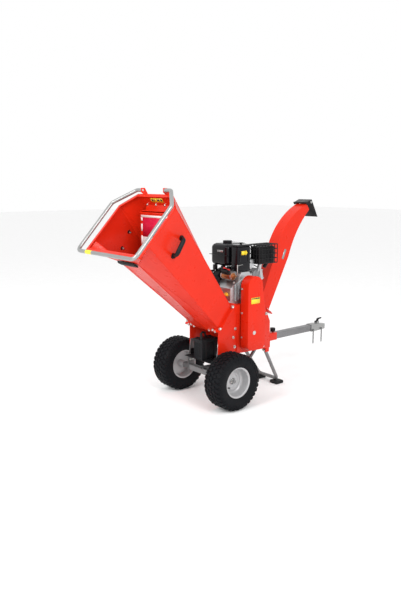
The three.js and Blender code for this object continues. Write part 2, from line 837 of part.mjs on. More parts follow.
function mouthHem() {
  const shape = new THREE.Shape(mouthOutline(2).map(([s, y]) => new THREE.Vector2(s, y)));
  const hole = mouthOutline(-MOUTH_HEM).map(([s, y]) => new THREE.Vector2(s, y));
  shape.holes.push(new THREE.Path(hole));
  const geometry = new THREE.ExtrudeGeometry(shape, { depth: 4, bevelEnabled: false });
  geometry.translate(0, 0, -3);
  return geometry.rotateY(-mouthAngle).translate(MOUTH_LOW_X, 0, MOUTH_LOW_Z);
}

const barY = MOUTH_HALF_W + STOP_BAR_SIDE_GAP + STOP_BAR_R;
const barTop = mouthPoint(mouthTop, 0).add(V3(-10, 0, 27));

// an ear on the hopper's roof with the pin that one end of the stop bar turns on
function barBracket(sign) {
  const face = sign * (STOP_BAR_END_HALF_W - GAP - 4);
  const pinEnd = sign * (STOP_BAR_END_HALF_W + 22);
  const roof = mouthPoint(mouthTop, 0);
  const ear = slab(
    [
      [roof.x + 3, roof.z - 5],
      [roof.x + 34, roof.z - 50],
      [roof.x + 34, roof.z - 4],
      [barTop.x + 16, barTop.z + 15],
      [barTop.x - 14, barTop.z + 15],
      [barTop.x - 14, roof.z + 14],
    ],
    Math.min(face, face + sign * 4),
    Math.max(face, face + sign * 4),
  );
  const pin = rodY(barTop.x, barTop.z, Math.min(face, pinEnd), Math.max(face, pinEnd), 5, 10);
  return join(ear, pin);
}

// a thin bead along the inside of a seam
function weldBead(from, to) {
  return rod(from.clone().lerp(to, 0.02), to.clone().lerp(from, -0.004), 2, 6);
}

function hopperGeometry() {
  const n = corner(-1);
  const f = corner(1);
  const walls = [];
  for (const c of [n, f]) {
    walls.push(...quad(c.bend, c.crease, c.throatLow, c.throatBend, hopperMiddle));
    walls.push(...quad(c.bend, c.top, c.throatTop, c.throatBend, hopperMiddle));
    walls.push(panel([c.rim, c.crease, c.tray], hopperMiddle));
    walls.push(panel([c.crease, c.tray, c.throatLow], hopperMiddle));
    walls.push(panel([c.tray, c.keelEnd, c.throatLow], hopperMiddle));
    walls.push(weldBead(c.rim, c.tray), weldBead(c.crease, c.tray));
  }
  walls.push(...quad(n.top, f.top, f.throatTop, n.throatTop, hopperMiddle));
  walls.push(...quad(n.rim, f.rim, f.tray, n.tray, hopperMiddle));
  walls.push(...quad(n.tray, f.tray, f.keelEnd, n.keelEnd, hopperMiddle));
  const seam = rodY(n.tray.x, n.tray.z + 2, -KEEL_HALF_W, KEEL_HALF_W, THIN_SHEET, 8);
  const opening = rectangle(10, THROAT_HEIGHT - 8, THROAT_TOP_HALF_W - 10);
  const flange = throatPlateGeometry(GAP / 2, opening);
  return join(...walls, seam, mouthHem(), flange, barBracket(-1), barBracket(1));
}
add("hopper", hopperGeometry(), RED);

add(
  "hopper_bumper",
  hull(
    [-1, 1].flatMap((sign) => {
      const c = corner(sign).tray;
      return [
        V3(c.x - 34, c.y, c.z + 13),
        V3(c.x, c.y, c.z - 4.5),
        V3(c.x - 30, c.y, c.z - 5),
        V3(c.x + 2, c.y, c.z - 21),
      ];
    }),
  ),
  RUBBER,
);

// wall frame of reference: a point on the side wall, from its middle line
function wallPoint(sign, along, up, out) {
  const c = corner(sign);
  const low = c.crease.clone().lerp(c.throatLow, along);
  const high = c.bend.clone().lerp(c.throatBend, along);
  const here = low.clone().lerp(high, up);
  const across = new THREE.Vector3().subVectors(c.throatLow, c.crease);
  const rise = new THREE.Vector3().subVectors(high, low);
  const normal = across.cross(rise).normalize();
  if (normal.y * sign < 0) normal.negate();
  return here.addScaledVector(normal, out);
}

for (const [side, sign] of SIDES) {
  const at = (along, up, out) => wallPoint(sign, along, up, out);
  const lowFoot = 0.212;
  const highFoot = 0.185;
  const stand = 46;
  add(
    `grab_handle_${side}`,
    bentTube(
      [
        at(lowFoot, 0.32, 1.5),
        at(lowFoot, 0.32, stand),
        at(highFoot, 0.74, stand),
        at(highFoot, 0.74, 1.5),
      ],
      9,
      16,
      { sides: 10, perBend: 3 },
    ),
    BLACK_PLASTIC,
  );
}

// ---------------------------------------------------------------- stop bar
function stopBarSide(sign) {
  const bend = mouthPoint(MOUTH_SIDE, 0, 40);
  return [
    V3(barTop.x, sign * STOP_BAR_END_HALF_W, barTop.z),
    V3(barTop.x, sign * (MOUTH_TOP_HALF_W - 4), barTop.z),
    V3(bend.x - 14, sign * barY, bend.z - 8),
    V3(MOUTH_LOW_X - STOP_BAR_STAND_OFF, sign * barY, MOUTH_LOW_Z),
  ];
}
add(
  "stop_bar",
  bentTube(
    [...stopBarSide(-1), ...stopBarSide(1).reverse()],
    STOP_BAR_R,
    42,
    { wall: STOP_BAR_WALL, sides: 12, perBend: 4 },
  ),
  ZINC,
);
// ---------------------------------------------------------------- feed flap
const flapEar = FLAP_HALF_W + 8;
function flapGeometry() {
  const plate = block(
    FLAP_X - 2,
    FLAP_X + 2,
    -FLAP_HALF_W,
    FLAP_HALF_W,
    FLAP_TOP_Z - FLAP_LENGTH,
    FLAP_TOP_Z,
  );
  const curl = rodY(FLAP_X, FLAP_TOP_Z, -FLAP_HALF_W, FLAP_HALF_W, 7, 12);
  const pin = rodY(FLAP_X, FLAP_TOP_Z, -flapEar - 4, flapEar + 4, 4, 10);
  return join(plate, curl, pin);
}
add("feed_flap", flapGeometry(), RED);

function flapBracketGeometry() {
  const roofSlope = new THREE.Vector3().subVectors(corner(1).throatTop, corner(1).top);
  const drop = roofSlope.z / roofSlope.x;
  const under = (THIN_SHEET + GAP) * Math.hypot(1, drop);
  const roofZ = (x) => corner(1).top.z + (x - corner(1).top.x) * drop - under;
  const x0 = FLAP_X + 20;
  const x1 = FLAP_X + 56;
  const strap = slab(
    [
      [x0, roofZ(x0)],
      [x1, roofZ(x1)],
      [x1 - 4, roofZ(x1) - 4],
      [x0 + 4, roofZ(x0) - 14],
      [FLAP_X + 14, FLAP_TOP_Z + 14],
      [FLAP_X + 11, FLAP_TOP_Z + 16],
    ],
    -MOUTH_TOP_HALF_W + 32,
    MOUTH_TOP_HALF_W - 32,
  );
  const bar = rodY(FLAP_X + 14, FLAP_TOP_Z + 15, -flapEar, flapEar, 5, 8);
  const ears = [-1, 1].map((sign) =>
    slab(
      [
        ...arc(FLAP_X, FLAP_TOP_Z, 9, 100, 320, 6),
        [FLAP_X + 20, FLAP_TOP_Z + 10],
        [FLAP_X + 12, FLAP_TOP_Z + 22],
      ],
      sign > 0 ? FLAP_HALF_W + 2 : -FLAP_HALF_W - 6,
      sign > 0 ? FLAP_HALF_W + 6 : -FLAP_HALF_W - 2,
      [circle(FLAP_X, FLAP_TOP_Z, 4 + GAP, 12)],
    ),
  );
  return join(strap, bar, ...ears);
}
add("flap_bracket", flapBracketGeometry(), RED);

// ---------------------------------------------------------------- chute
const neckLean = radians(CHUTE_NECK_LEAN);
const chuteLean = radians(CHUTE_LEAN);
function chuteOutline(inset, past) {
  const half = CHUTE_BASE_DEPTH / 2 - inset;
  const backFoot = chuteBase(half, GAP);
  const backBase = chuteBase(CHUTE_BASE_DEPTH / 2, GAP);
  const backTop = [
    backBase[0] + CHUTE_NECK_LENGTH * Math.sin(neckLean),
    backBase[1] + CHUTE_NECK_LENGTH * Math.cos(neckLean),
  ];
  const frontTop = [
    backTop[0] - CHUTE_DEPTH * Math.cos(chuteLean),
    backTop[1] + CHUTE_DEPTH * Math.sin(chuteLean),
  ];
  const frontCentre = [
    frontTop[0] + CHUTE_FRONT_R * Math.cos(chuteLean),
    frontTop[1] - CHUTE_FRONT_R * Math.sin(chuteLean),
  ];
  const backCentre = [
    backTop[0] + CHUTE_BACK_R * Math.cos(chuteLean),
    backTop[1] - CHUTE_BACK_R * Math.sin(chuteLean),
  ];
  const start = 180 - CHUTE_LEAN;
  const sweep = (s) => s + past;
  const front = arc(
    ...frontCentre,
    CHUTE_FRONT_R - inset,
    start,
    start - sweep(CHUTE_FRONT_SWEEP),
    12,
  );
  const back = arc(
    ...backCentre,
    CHUTE_BACK_R + inset,
    start,
    start - sweep(CHUTE_BACK_SWEEP),
    8,
  );
  const low = inset > 0 ? -20 : 0;
  const footBack = [backFoot[0] + low * Math.sin(neckLean), backFoot[1] + low * Math.cos(neckLean)];
  const frontFoot = chuteBase(-half, GAP);
  const footFront = [frontFoot[0] + low * Math.sin(neckLean), frontFoot[1] + low * Math.cos(neckLean)];
  return [footFront, ...front, ...back.reverse(), footBack];
}
const chuteFront = chuteOutline(0, 0);
const chuteTip = chuteFront[13];
function chuteGeometry() {
  const half = CHUTE_W / 2;
  return cut(
    join(slab(chuteOutline(0, 0), -half, half), chutePlate(GAP)),
    slab(chuteOutline(THIN_SHEET, 2), -half + THIN_SHEET, half - THIN_SHEET),
  );
}
add("discharge_chute", chuteGeometry(), RED);

// deflector hood, hinged across the chute's top edge
const hingeX = chuteTip[0] - 22;
const hingeZ = chuteTip[1] + 10;
const hoodLean = radians(21);
const flapLean = radians(29);
function deflectorGeometry() {
  const top = V3(Math.cos(hoodLean), 0, Math.sin(hoodLean)).multiplyScalar(DEFLECTOR_TOP);
  const flap = V3(Math.sin(flapLean), 0, -Math.cos(flapLean)).multiplyScalar(DEFLECTOR_FLAP);
  const knee = V3(hingeX, 0, hingeZ).add(top);
  const toe = knee.clone().add(flap);
  const t = THIN_SHEET;
  const sheet = slab(
    [
      [hingeX, hingeZ],
      [knee.x, knee.z],
      [toe.x, toe.z],
      [toe.x - t, toe.z],
      [knee.x - t, knee.z - t - 1],
      [hingeX, hingeZ - t],
    ],
    -DEFLECTOR_HALF_W,
    DEFLECTOR_HALF_W,
  );
  const knuckle = rodY(hingeX, hingeZ - 1, -DEFLECTOR_HALF_W, DEFLECTOR_HALF_W, 5, 10);
  const cheeks = [-1, 1].map((sign) =>
    slab(
      [
        [hingeX - 4, hingeZ - 2],
        [hingeX + 4, hingeZ - 18],
        [knee.x + 12, knee.z - 34],
        [knee.x, knee.z - 2],
      ],
      sign > 0 ? DEFLECTOR_HALF_W - t : -DEFLECTOR_HALF_W,
      sign > 0 ? DEFLECTOR_HALF_W : -DEFLECTOR_HALF_W + t,
    ),
  );
  return join(sheet, knuckle, ...cheeks);
}
add("deflector", deflectorGeometry(), BLACK_PAINT);

// ---------------------------------------------------------------- engine
const engineFoot = DECK_Z + GAP;
const caseLeft = CASE_LEFT_X;
const caseRight = crankX + CASE_W / 2;
const caseBack = CASE_FRONT_Y + CASE_DEPTH;
const caseFoot = 6;
const lean = radians(CYLINDER_LEAN);

function crankcaseGeometry() {
  const low = slab(
    [
      [caseLeft - caseFoot, engineFoot],
      [caseRight + caseFoot, engineFoot],
      [caseRight + caseFoot, engineFoot + 14],
      [caseRight, engineFoot + 24],
      [caseRight, crankZ + 20],
      [crankX + 60, crankZ + 92],
      [crankX - 20, crankZ + 92],
      [caseLeft + 74, crankZ + 26],
      [caseLeft, crankZ - 18],
      [caseLeft, engineFoot + 24],
      [caseLeft - caseFoot, engineFoot + 14],
    ],
    CASE_FRONT_Y,
    caseBack,
  );
  const boss = rodY(crankX, crankZ, CASE_FRONT_Y - 14, CASE_FRONT_Y + 1, 46, 24);
  const ribY = [CASE_FRONT_Y - 8, CASE_FRONT_Y + 1];
  const ribs = [-100, -72, -44, 44, 72, 100].map((x) =>
    block(crankX + x - 3, crankX + x + 3, ...ribY, engineFoot + 30, crankZ + 10),
  );
  return join(low, boss, ...ribs);
}
add("crankcase", crankcaseGeometry(), CAST_ALUMINIUM);

// the finned cylinder and its head lean out over the rear of the crankcase
const cylinderY = [CASE_FRONT_Y + 24, caseBack - 14];
function leaning(x0, x1, y0, y1, z0, z1) {
  return block(x0, x1, y0, y1, z0, z1).rotateY(-lean).translate(crankX, 0, crankZ);
}
const cylinderStart = CASE_W / 2 + 4;
function cylinderGeometry() {
  const coreY = [cylinderY[0] + 14, cylinderY[1] - 14];
  const core = leaning(cylinderStart, cylinderStart + 86, ...coreY, -46, 48);
  const fins = Array.from({ length: 6 }, (_, i) =>
    leaning(
      cylinderStart + 6 + i * 14,
      cylinderStart + 10 + i * 14,
      cylinderY[0],
      cylinderY[1],
      -58,
      60,
    ),
  );
  const coverY = [cylinderY[0] + 20, cylinderY[1] - 20];
  const cover = leaning(cylinderStart + 85, cylinderStart + 120, ...coverY, -38, 40);
  return join(core, ...fins, cover);
}
add("cylinder", cylinderGeometry(), CAST_ALUMINIUM);

const tankFar = crankX - 72;
const tankTop = DECK_Z + 422;
const tankNear = -20;
add(
  "fuel_tank",
  join(
    roundedBlock(
      tankFar,
      tankFar + TANK[0],
      tankNear,
      tankNear + TANK[1],
      tankTop - TANK[2],
      tankTop,
      34,
    ),
    roundedBlock(
      tankFar - 5,
      tankFar + TANK[0] + 5,
      tankNear - 5,
      tankNear + TANK[1] + 5,
      tankTop - TANK[2] / 2 - 2,
      tankTop - TANK[2] / 2 + 2,
      38,
    ),
  ),
  BLACK_PAINT,
);
const capX = tankFar + 90;
const capY = tankNear + TANK[1] / 2;
add(
  "fuel_cap",
  rod(V3(capX, capY, tankTop + GAP), V3(capX, capY, tankTop + 22), 34, 20),
  BLACK_PLASTIC,
);

const airLeft = crankX - 53;
const airNear = -115;
const airTop = DECK_Z + 412;
add(
  "air_cleaner_base",
  roundedBlock(
    airLeft,
    airLeft + AIR_BOX[0],
    airNear,
    airNear + AIR_BOX[1],
    airTop - AIR_BOX[2],
    airTop,
    14,
  ),
  BLACK_PLASTIC,
);
add(
  "air_cleaner_lid",
  join(
    roundedBlock(
      airLeft - 4,
      airLeft + AIR_BOX[0] + 4,
      airNear - 4,
      airNear + AIR_BOX[1] + 4,
      airTop + GAP,
      airTop + 14,
      16,
    ),
    rod(
      V3(airLeft + AIR_BOX[0] / 2, airNear + 36, airTop + 13),
      V3(airLeft + AIR_BOX[0] / 2, airNear + 36, airTop + 28),
      5,
      10,
    ),
  ),
  BLACK_PLASTIC,
);

const mufflerLeft = caseRight + 15;
const mufflerNear = -140;
const mufflerTop = DECK_Z + 404;
const mufflerBox = [
  mufflerLeft,
  mufflerLeft + MUFFLER[0],
  mufflerNear,
  mufflerNear + MUFFLER[1],
  mufflerTop - MUFFLER[2],
  mufflerTop,
];
add(
  "muffler",
  join(
    block(...mufflerBox),
    rod(
      V3(mufflerBox[1] - 40, mufflerNear + 40, mufflerBox[4] + 2),
      V3(mufflerBox[1] - 62, mufflerNear + 50, mufflerBox[4] - 34),
      15,
      12,
    ),
  ),
  BLACK_PAINT,
);

function mufflerGuardGeometry() {
  const r = 3;
  const x0 = mufflerBox[0] - 10;
  const x1 = mufflerBox[1] + 18;
  const y0 = mufflerBox[2] - 9;
  const y1 = mufflerBox[3] + 8;
  const top = mufflerBox[5] + 12;
  const low = mufflerBox[4] + 4;
  const bars = [];
  for (const z of [low, top]) {
    bars.push(rod(V3(x0, y0, z), V3(x1, y0, z), r, 6));
    bars.push(rod(V3(x0, y1, z), V3(x1, y1, z), r, 6));
    for (const x of [x0, x1]) bars.push(rod(V3(x, y0, z), V3(x, y1, z), r, 6));
  }
  for (const x of [x0, x1]) {
    for (const y of [y0, y1]) bars.push(rod(V3(x, y, low), V3(x, y, top), r * 1.4, 6));
  }
  bars.push(rod(V3(x1, (y0 + y1) / 2, low), V3(x1, (y0 + y1) / 2, top), r, 6));
  bars.push(block(x0, x1, y0, y1, top - 1, top + 2));
  return join(...bars);
}
add("muffler_guard", mufflerGuardGeometry(), BLACK_PAINT);

const recoilFront = caseBack + GAP;
const recoilBack = recoilFront + 92;
add(
  "fan_housing",
  join(
    rodY(crankX, crankZ, recoilFront, recoilFront + 60, 108, 28),
    block(crankX + 40, crankX + 150, recoilFront, recoilFront + 50, crankZ + 20, crankZ + 110),
  ),
  BLACK_PAINT,
);
add(
  "recoil_starter",
  cut(
    rodY(crankX, crankZ, recoilFront + 60 + GAP, recoilBack, 88, 28),
    block(crankX - 98, crankX - 60, recoilBack - 24, recoilBack - 4, crankZ + 44, crankZ + 100),
  ),
  BLACK_PAINT,
);
const gripFoot = V3(crankX - 74, recoilBack - 14, crankZ + 62);
add(
  "recoil_handle",
  join(
    rodY(crankX - 74, crankZ + 62, recoilBack - 20, recoilBack - 8, 4, 8),
    rod(gripFoot, gripFoot.clone().setZ(crankZ + 78), 4, 8),
    block(crankX - 92, crankX - 56, recoilBack - 22, recoilBack - 6, crankZ + 76, crankZ + 90),
  ),
  BLACK_PLASTIC,
);

const starterX = caseLeft + 42;
const starterZ = crankZ + 66;
add(
  "starter_motor",
  join(
    rodY(starterX, starterZ, -104, 10, 27, 16),
    rodY(starterX, starterZ, -112, -103, 12, 12),
  ),
  COPPER_BRONZE,
);
// a short neck and a wide cap, leaning up and out of the case's side
const dipstickPoint = (out) => V3(caseLeft - out, CASE_FRONT_Y + 22, engineFoot + 62 + (out * 2) / 3);
add(
  "dipstick",
  join(
    rod(dipstickPoint(6), dipstickPoint(18), 8, 10),
    rod(dipstickPoint(16), dipstickPoint(28), 14, 12),
  ),
  YELLOW_PLASTIC,
);
const carbX = airLeft + AIR_BOX[0] + GAP;
const carbY = [-104, -52];
add(
  "carburettor",
  join(
    block(carbX, carbX + 46, carbY[0], carbY[1], crankZ + 122, crankZ + 176),
    rod(V3(carbX + 24, -78, crankZ + 108), V3(carbX + 24, -78, crankZ + 124), 18, 14),
  ),
  CAST_ALUMINIUM,
);

// two small levers, each a pivot boss with an arm and a knob
function leverGeometry(x, y, z, length, lift) {
  const tip = V3(x - length, y, z + lift);
  return join(
    rodY(x, z, y - 5, y + 5, 7, 10),
    rod(V3(x, y, z), tip, 3, 8),
    rod(tip.clone().add(V3(-1, -7, 0)), tip.clone().add(V3(-1, 7, 0)), 6, 8),
  );
}
const LEVERS = {
  throttle_lever: [crankX - 92, -64, crankZ + 112, 44, 18],
  choke_lever: [crankX - 70, -40, crankZ + 114, 34, 8],
};
add("throttle_lever", leverGeometry(...LEVERS.throttle_lever), RED_PLASTIC);
add("choke_lever", leverGeometry(...LEVERS.choke_lever), BLACK_PLASTIC);

const switchBox = [caseLeft - 56, caseLeft - 18, -30, 26, crankZ - 10, crankZ + 58];
add("switch_box", roundedBlock(...switchBox, 6), BLACK_PLASTIC);
const keyZ = (switchBox[4] + switchBox[5]) / 2 + 8;
add(
  "ignition_key",
  join(
    rod(V3(switchBox[0] - GAP, -4, keyZ), V3(switchBox[0] - 6, -4, keyZ), 9, 12),
    block(switchBox[0] - 24, switchBox[0] - 5, -6, -2, keyZ - 10, keyZ + 10),
  ),
  STEEL,
);

// ---------------------------------------------------------------- battery
const batteryX = -62;
const batteryTop = 455;
const batteryLow = batteryTop - BATTERY[2];
const batteryHalf = BATTERY[1] / 2;
add(
  "battery_box",
  join(
    roundedBlock(
      batteryX,
      batteryX + BATTERY[0],
      -batteryHalf,
      batteryHalf,
      batteryLow,
      batteryTop - 20,
      6,
    ),
    roundedBlock(
      batteryX - 3,
      batteryX + BATTERY[0] + 3,
      -batteryHalf - 3,
      batteryHalf + 3,
      batteryTop - 22,
      batteryTop,
      8,
    ),
  ),
  BLACK_PLASTIC,
);
const trayTop = batteryLow - GAP;
const carrierX = BODY_FRONT_X + 2;
const carrierHalf = insideHalf - bracketThick - GAP;
const railEnd = batteryX + BATTERY[0];
add(
  "battery_carrier",
  join(
    block(batteryX - 2, railEnd + 2, -carrierHalf, carrierHalf, trayTop - SHEET, trayTop),
    block(carrierX, railEnd, -carrierHalf, -carrierHalf + SHEET, trayTop - 1, trayTop + 40),
    block(carrierX, railEnd, carrierHalf - SHEET, carrierHalf, trayTop - 1, trayTop + 40),
  ),
  BLACK_PAINT,
);

// the two leads rise from the lid, loop over and run back under the throat into the chassis
const LEAD_R = 4.5;
const leadRoute = (x, y, top) => [
  V3(x, y, batteryTop + GAP),
  V3(x, y, top),
  V3(x + 34, y, top - 6),
  V3(x + 40, y, batteryTop + 14),
  V3(x + 96, y, batteryTop + 12),
];
const lead = (...route) => bentTube(leadRoute(...route), LEAD_R, 12, { sides: 8, perBend: 3 });
add("battery_lead_live", lead(-48, -26, 512), RUBBER);
add("battery_lead_earth", lead(-40, -8, 500), RUBBER);

// ---------------------------------------------------------------- drawbar
const barHalf = DRAWBAR_BOX / 2;
const receiverStart = bodyRearX + GAP;
function squareTube(x0, x1, half, wall) {
  return cut(
    block(x0, x1, -half, half, DRAWBAR_Z - half, DRAWBAR_Z + half),
    block(x0 - 5, x1 + 5, -half + wall, half - wall, DRAWBAR_Z - half + wall, DRAWBAR_Z + half - wall),
  );
}
const knobX = 712;
const knobR = 7;
const wingY = housingHalf + SHEET + 4;
const crossPlate = (y0, y1, top) => block(receiverStart, receiverStart + 6, y0, y1, receiverLow, top);
add(
  "drawbar_receiver",
  cut(
    join(
      squareTube(receiverStart, RECEIVER_END_X, socketHalf + SHEET, SHEET),
      crossPlate(-BODY_HALF_W, BODY_HALF_W, socketTop),
      crossPlate(-BODY_HALF_W, -wingY, socketTop + 40),
      crossPlate(wingY, BODY_HALF_W, socketTop + 40),
    ),
    rod(V3(knobX, 0, DRAWBAR_Z), V3(knobX, 0, DRAWBAR_Z + 60), knobR + GAP, 12),
  ),
  RED,
);
add(
  "clamp_knob",
  join(
    rod(V3(knobX, 0, DRAWBAR_Z + barHalf + GAP), V3(knobX, 0, socketTop + 8), knobR, 12),
    rod(V3(knobX, 0, socketTop + 7), V3(knobX, 0, socketTop + 34), 21, 16),
  ),
  BLACK_PLASTIC,
);
add("drawbar", squareTube(DRAWBAR_START_X, DRAWBAR_END_X, barHalf, DRAWBAR_WALL), GREY_TUBE);

const couplerHalf = barHalf + GAP + 4;
const noseEnd = DRAWBAR_END_X + COUPLER_NOSE;
const ballX = noseEnd - 34;
const ballZ = DRAWBAR_Z - 22;
function couplerGeometry() {
  const sleeve = cut(
    block(
      DRAWBAR_END_X - 66,
      DRAWBAR_END_X + 6,
      -couplerHalf,
      couplerHalf,
      DRAWBAR_Z - couplerHalf,
      DRAWBAR_Z + couplerHalf,
    ),
    block(
      DRAWBAR_END_X - 80,
      DRAWBAR_END_X + GAP,
      -barHalf - GAP,
      barHalf + GAP,
      DRAWBAR_Z - barHalf - GAP,
      DRAWBAR_Z + barHalf + GAP,
    ),
  );
  const top = DRAWBAR_Z + 14;
  const low = DRAWBAR_Z - 24;
  const nose = hull([
    ...circle(ballX, 0, 33, 16).flatMap(([x, y]) => [V3(x, y, low), V3(x, y, top)]),
    V3(DRAWBAR_END_X + 2, -couplerHalf, DRAWBAR_Z - couplerHalf),
    V3(DRAWBAR_END_X + 2, couplerHalf, DRAWBAR_Z - couplerHalf),
    V3(DRAWBAR_END_X + 2, -couplerHalf, DRAWBAR_Z + couplerHalf),
    V3(DRAWBAR_END_X + 2, couplerHalf, DRAWBAR_Z + couplerHalf),
  ]);
  const ball = new THREE.SphereGeometry(BALL_R + 0.5, 20, 12).translate(ballX, 0, ballZ);
  const ears = [-1, 1].map((sign) =>
    block(1236, 1262, sign * 14 - 2.5, sign * 14 + 2.5, DRAWBAR_Z, DRAWBAR_Z + couplerHalf + 16),
  );
  return cut(join(sleeve, nose, ...ears), ball);
}
add("coupler_head", couplerGeometry(), ZINC);

const latchX = 1249;
const latchZ = DRAWBAR_Z + couplerHalf + 8;
add(
  "coupler_latch",
  join(
    rodY(latchX, latchZ, -10, 10, 8, 12),
    slab(
      [
        [latchX - 6, latchZ + 2],
        [latchX + 4, latchZ - 4],
        [latchX + 18, latchZ + 20],
        [latchX + 52, latchZ + 26],
        [latchX + 52, latchZ + 34],
        [latchX + 8, latchZ + 30],
      ],
      -8,
      8,
    ),
  ),
  BLACK_PAINT,
);

const CHAIN_LENGTH = 118;
const CHAIN_EYES = { chain_front: DRAWBAR_END_X - 52, chain_rear: noseEnd - 72 };
const chainY = -couplerHalf - 9;
const eyeZ = DRAWBAR_Z - 10;
for (const [name, x] of Object.entries(CHAIN_EYES)) {
  add(
    name,
    join(
      rod(V3(x, chainY, eyeZ - CHAIN_LENGTH), V3(x, chainY, eyeZ), 5, 8),
      rod(V3(x, chainY, eyeZ - CHAIN_LENGTH - 14), V3(x, chainY, eyeZ - CHAIN_LENGTH + 10), 9, 10),
    ),
    STEEL,
  );
}

// ---------------------------------------------------------------- stand
const standTopY = BODY_HALF_W - 28;
const crossZ = FOOT[2] + GAP + STAND_TUBE_R;
add(
  "stand_frame",
  join(
    bentTube(
      [
        V3(standTopX, -standTopY, standTopZ),
        V3(STAND_X, -STAND_HALF_W, crossZ),
        V3(STAND_X, STAND_HALF_W, crossZ),
        V3(standTopX, standTopY, standTopZ),
      ],
      STAND_TUBE_R,
      30,
      { sides: 10, perBend: 4 },
    ),
    rodY(standTopX, standTopZ, -standTopY - 17, -standTopY + 18, STAND_TUBE_R + 2, 14),
    rodY(standTopX, standTopZ, standTopY - 18, standTopY + 17, STAND_TUBE_R + 2, 14),
  ),
  GREY_TUBE,
);
for (const [side, sign] of SIDES) {
  const middle = sign * (STAND_HALF_W - 4);
  add(
    `stand_foot_${side}`,
    block(
      STAND_X - FOOT[0] / 2,
      STAND_X + FOOT[0] / 2,
      middle - FOOT[1] / 2,
      middle + FOOT[1] / 2,
      0,
      FOOT[2],
    ),
    RUBBER,
  );
}

// ---------------------------------------------------------------- origin under the middle
chipper.updateMatrixWorld(true);
const extent = new THREE.Box3().setFromObject(chipper);
chipper.position.x = -(extent.min.x + extent.max.x) / 2;
chipper.updateMatrixWorld(true);

export default chipper;
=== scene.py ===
# A towed wood chipper on two turf wheels, built up in the order a maker would put it together.
from math import cos, pi, radians, sin

import bmesh
import bpy
from mathutils import Matrix, Vector


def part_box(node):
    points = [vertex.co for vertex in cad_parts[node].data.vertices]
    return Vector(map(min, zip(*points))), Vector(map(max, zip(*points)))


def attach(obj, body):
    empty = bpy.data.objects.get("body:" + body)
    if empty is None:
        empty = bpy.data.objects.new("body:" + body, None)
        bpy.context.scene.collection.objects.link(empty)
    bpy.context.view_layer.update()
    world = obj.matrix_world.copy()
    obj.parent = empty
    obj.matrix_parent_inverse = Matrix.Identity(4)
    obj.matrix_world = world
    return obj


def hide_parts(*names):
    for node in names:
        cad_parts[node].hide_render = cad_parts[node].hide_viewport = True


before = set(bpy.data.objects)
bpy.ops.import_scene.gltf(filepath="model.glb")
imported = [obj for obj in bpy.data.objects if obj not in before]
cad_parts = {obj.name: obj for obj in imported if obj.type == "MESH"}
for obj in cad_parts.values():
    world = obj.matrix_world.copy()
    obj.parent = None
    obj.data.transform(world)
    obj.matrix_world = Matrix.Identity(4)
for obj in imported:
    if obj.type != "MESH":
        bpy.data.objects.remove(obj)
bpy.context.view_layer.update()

# The camera stands at the hopper's corner of the machine, a little above the engine, and looks
# slightly down across it.
camera_data = bpy.data.cameras.new("camera")
camera_data.sensor_width = 36
camera_data.lens = 37.66
camera = bpy.data.objects.new("camera", camera_data)
camera.location = (-3.1045, -3.429, 1.566)
camera.rotation_euler = Vector((0.624, 0.760, -0.184)).to_track_quat("-Z", "Y").to_euler()
bpy.context.scene.collection.objects.link(camera)
bpy.context.scene.camera = camera

# Wheels: pneumatic turf tyres on pressed steel rims, with a plain hub and a snap-in valve.
# The tread is rows of small moulded blocks, staggered from row to row.
tyre_low, tyre_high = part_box("tyre_near")
axle_x = (tyre_low.x + tyre_high.x) / 2
tyre_r = (tyre_high.z - tyre_low.z) / 2
wheel_y = -(tyre_low.y + tyre_high.y) / 2


def place(x, y, z):
    """A point measured from the ground under the middle of the axle."""
    return Vector((axle_x + x, y, z))


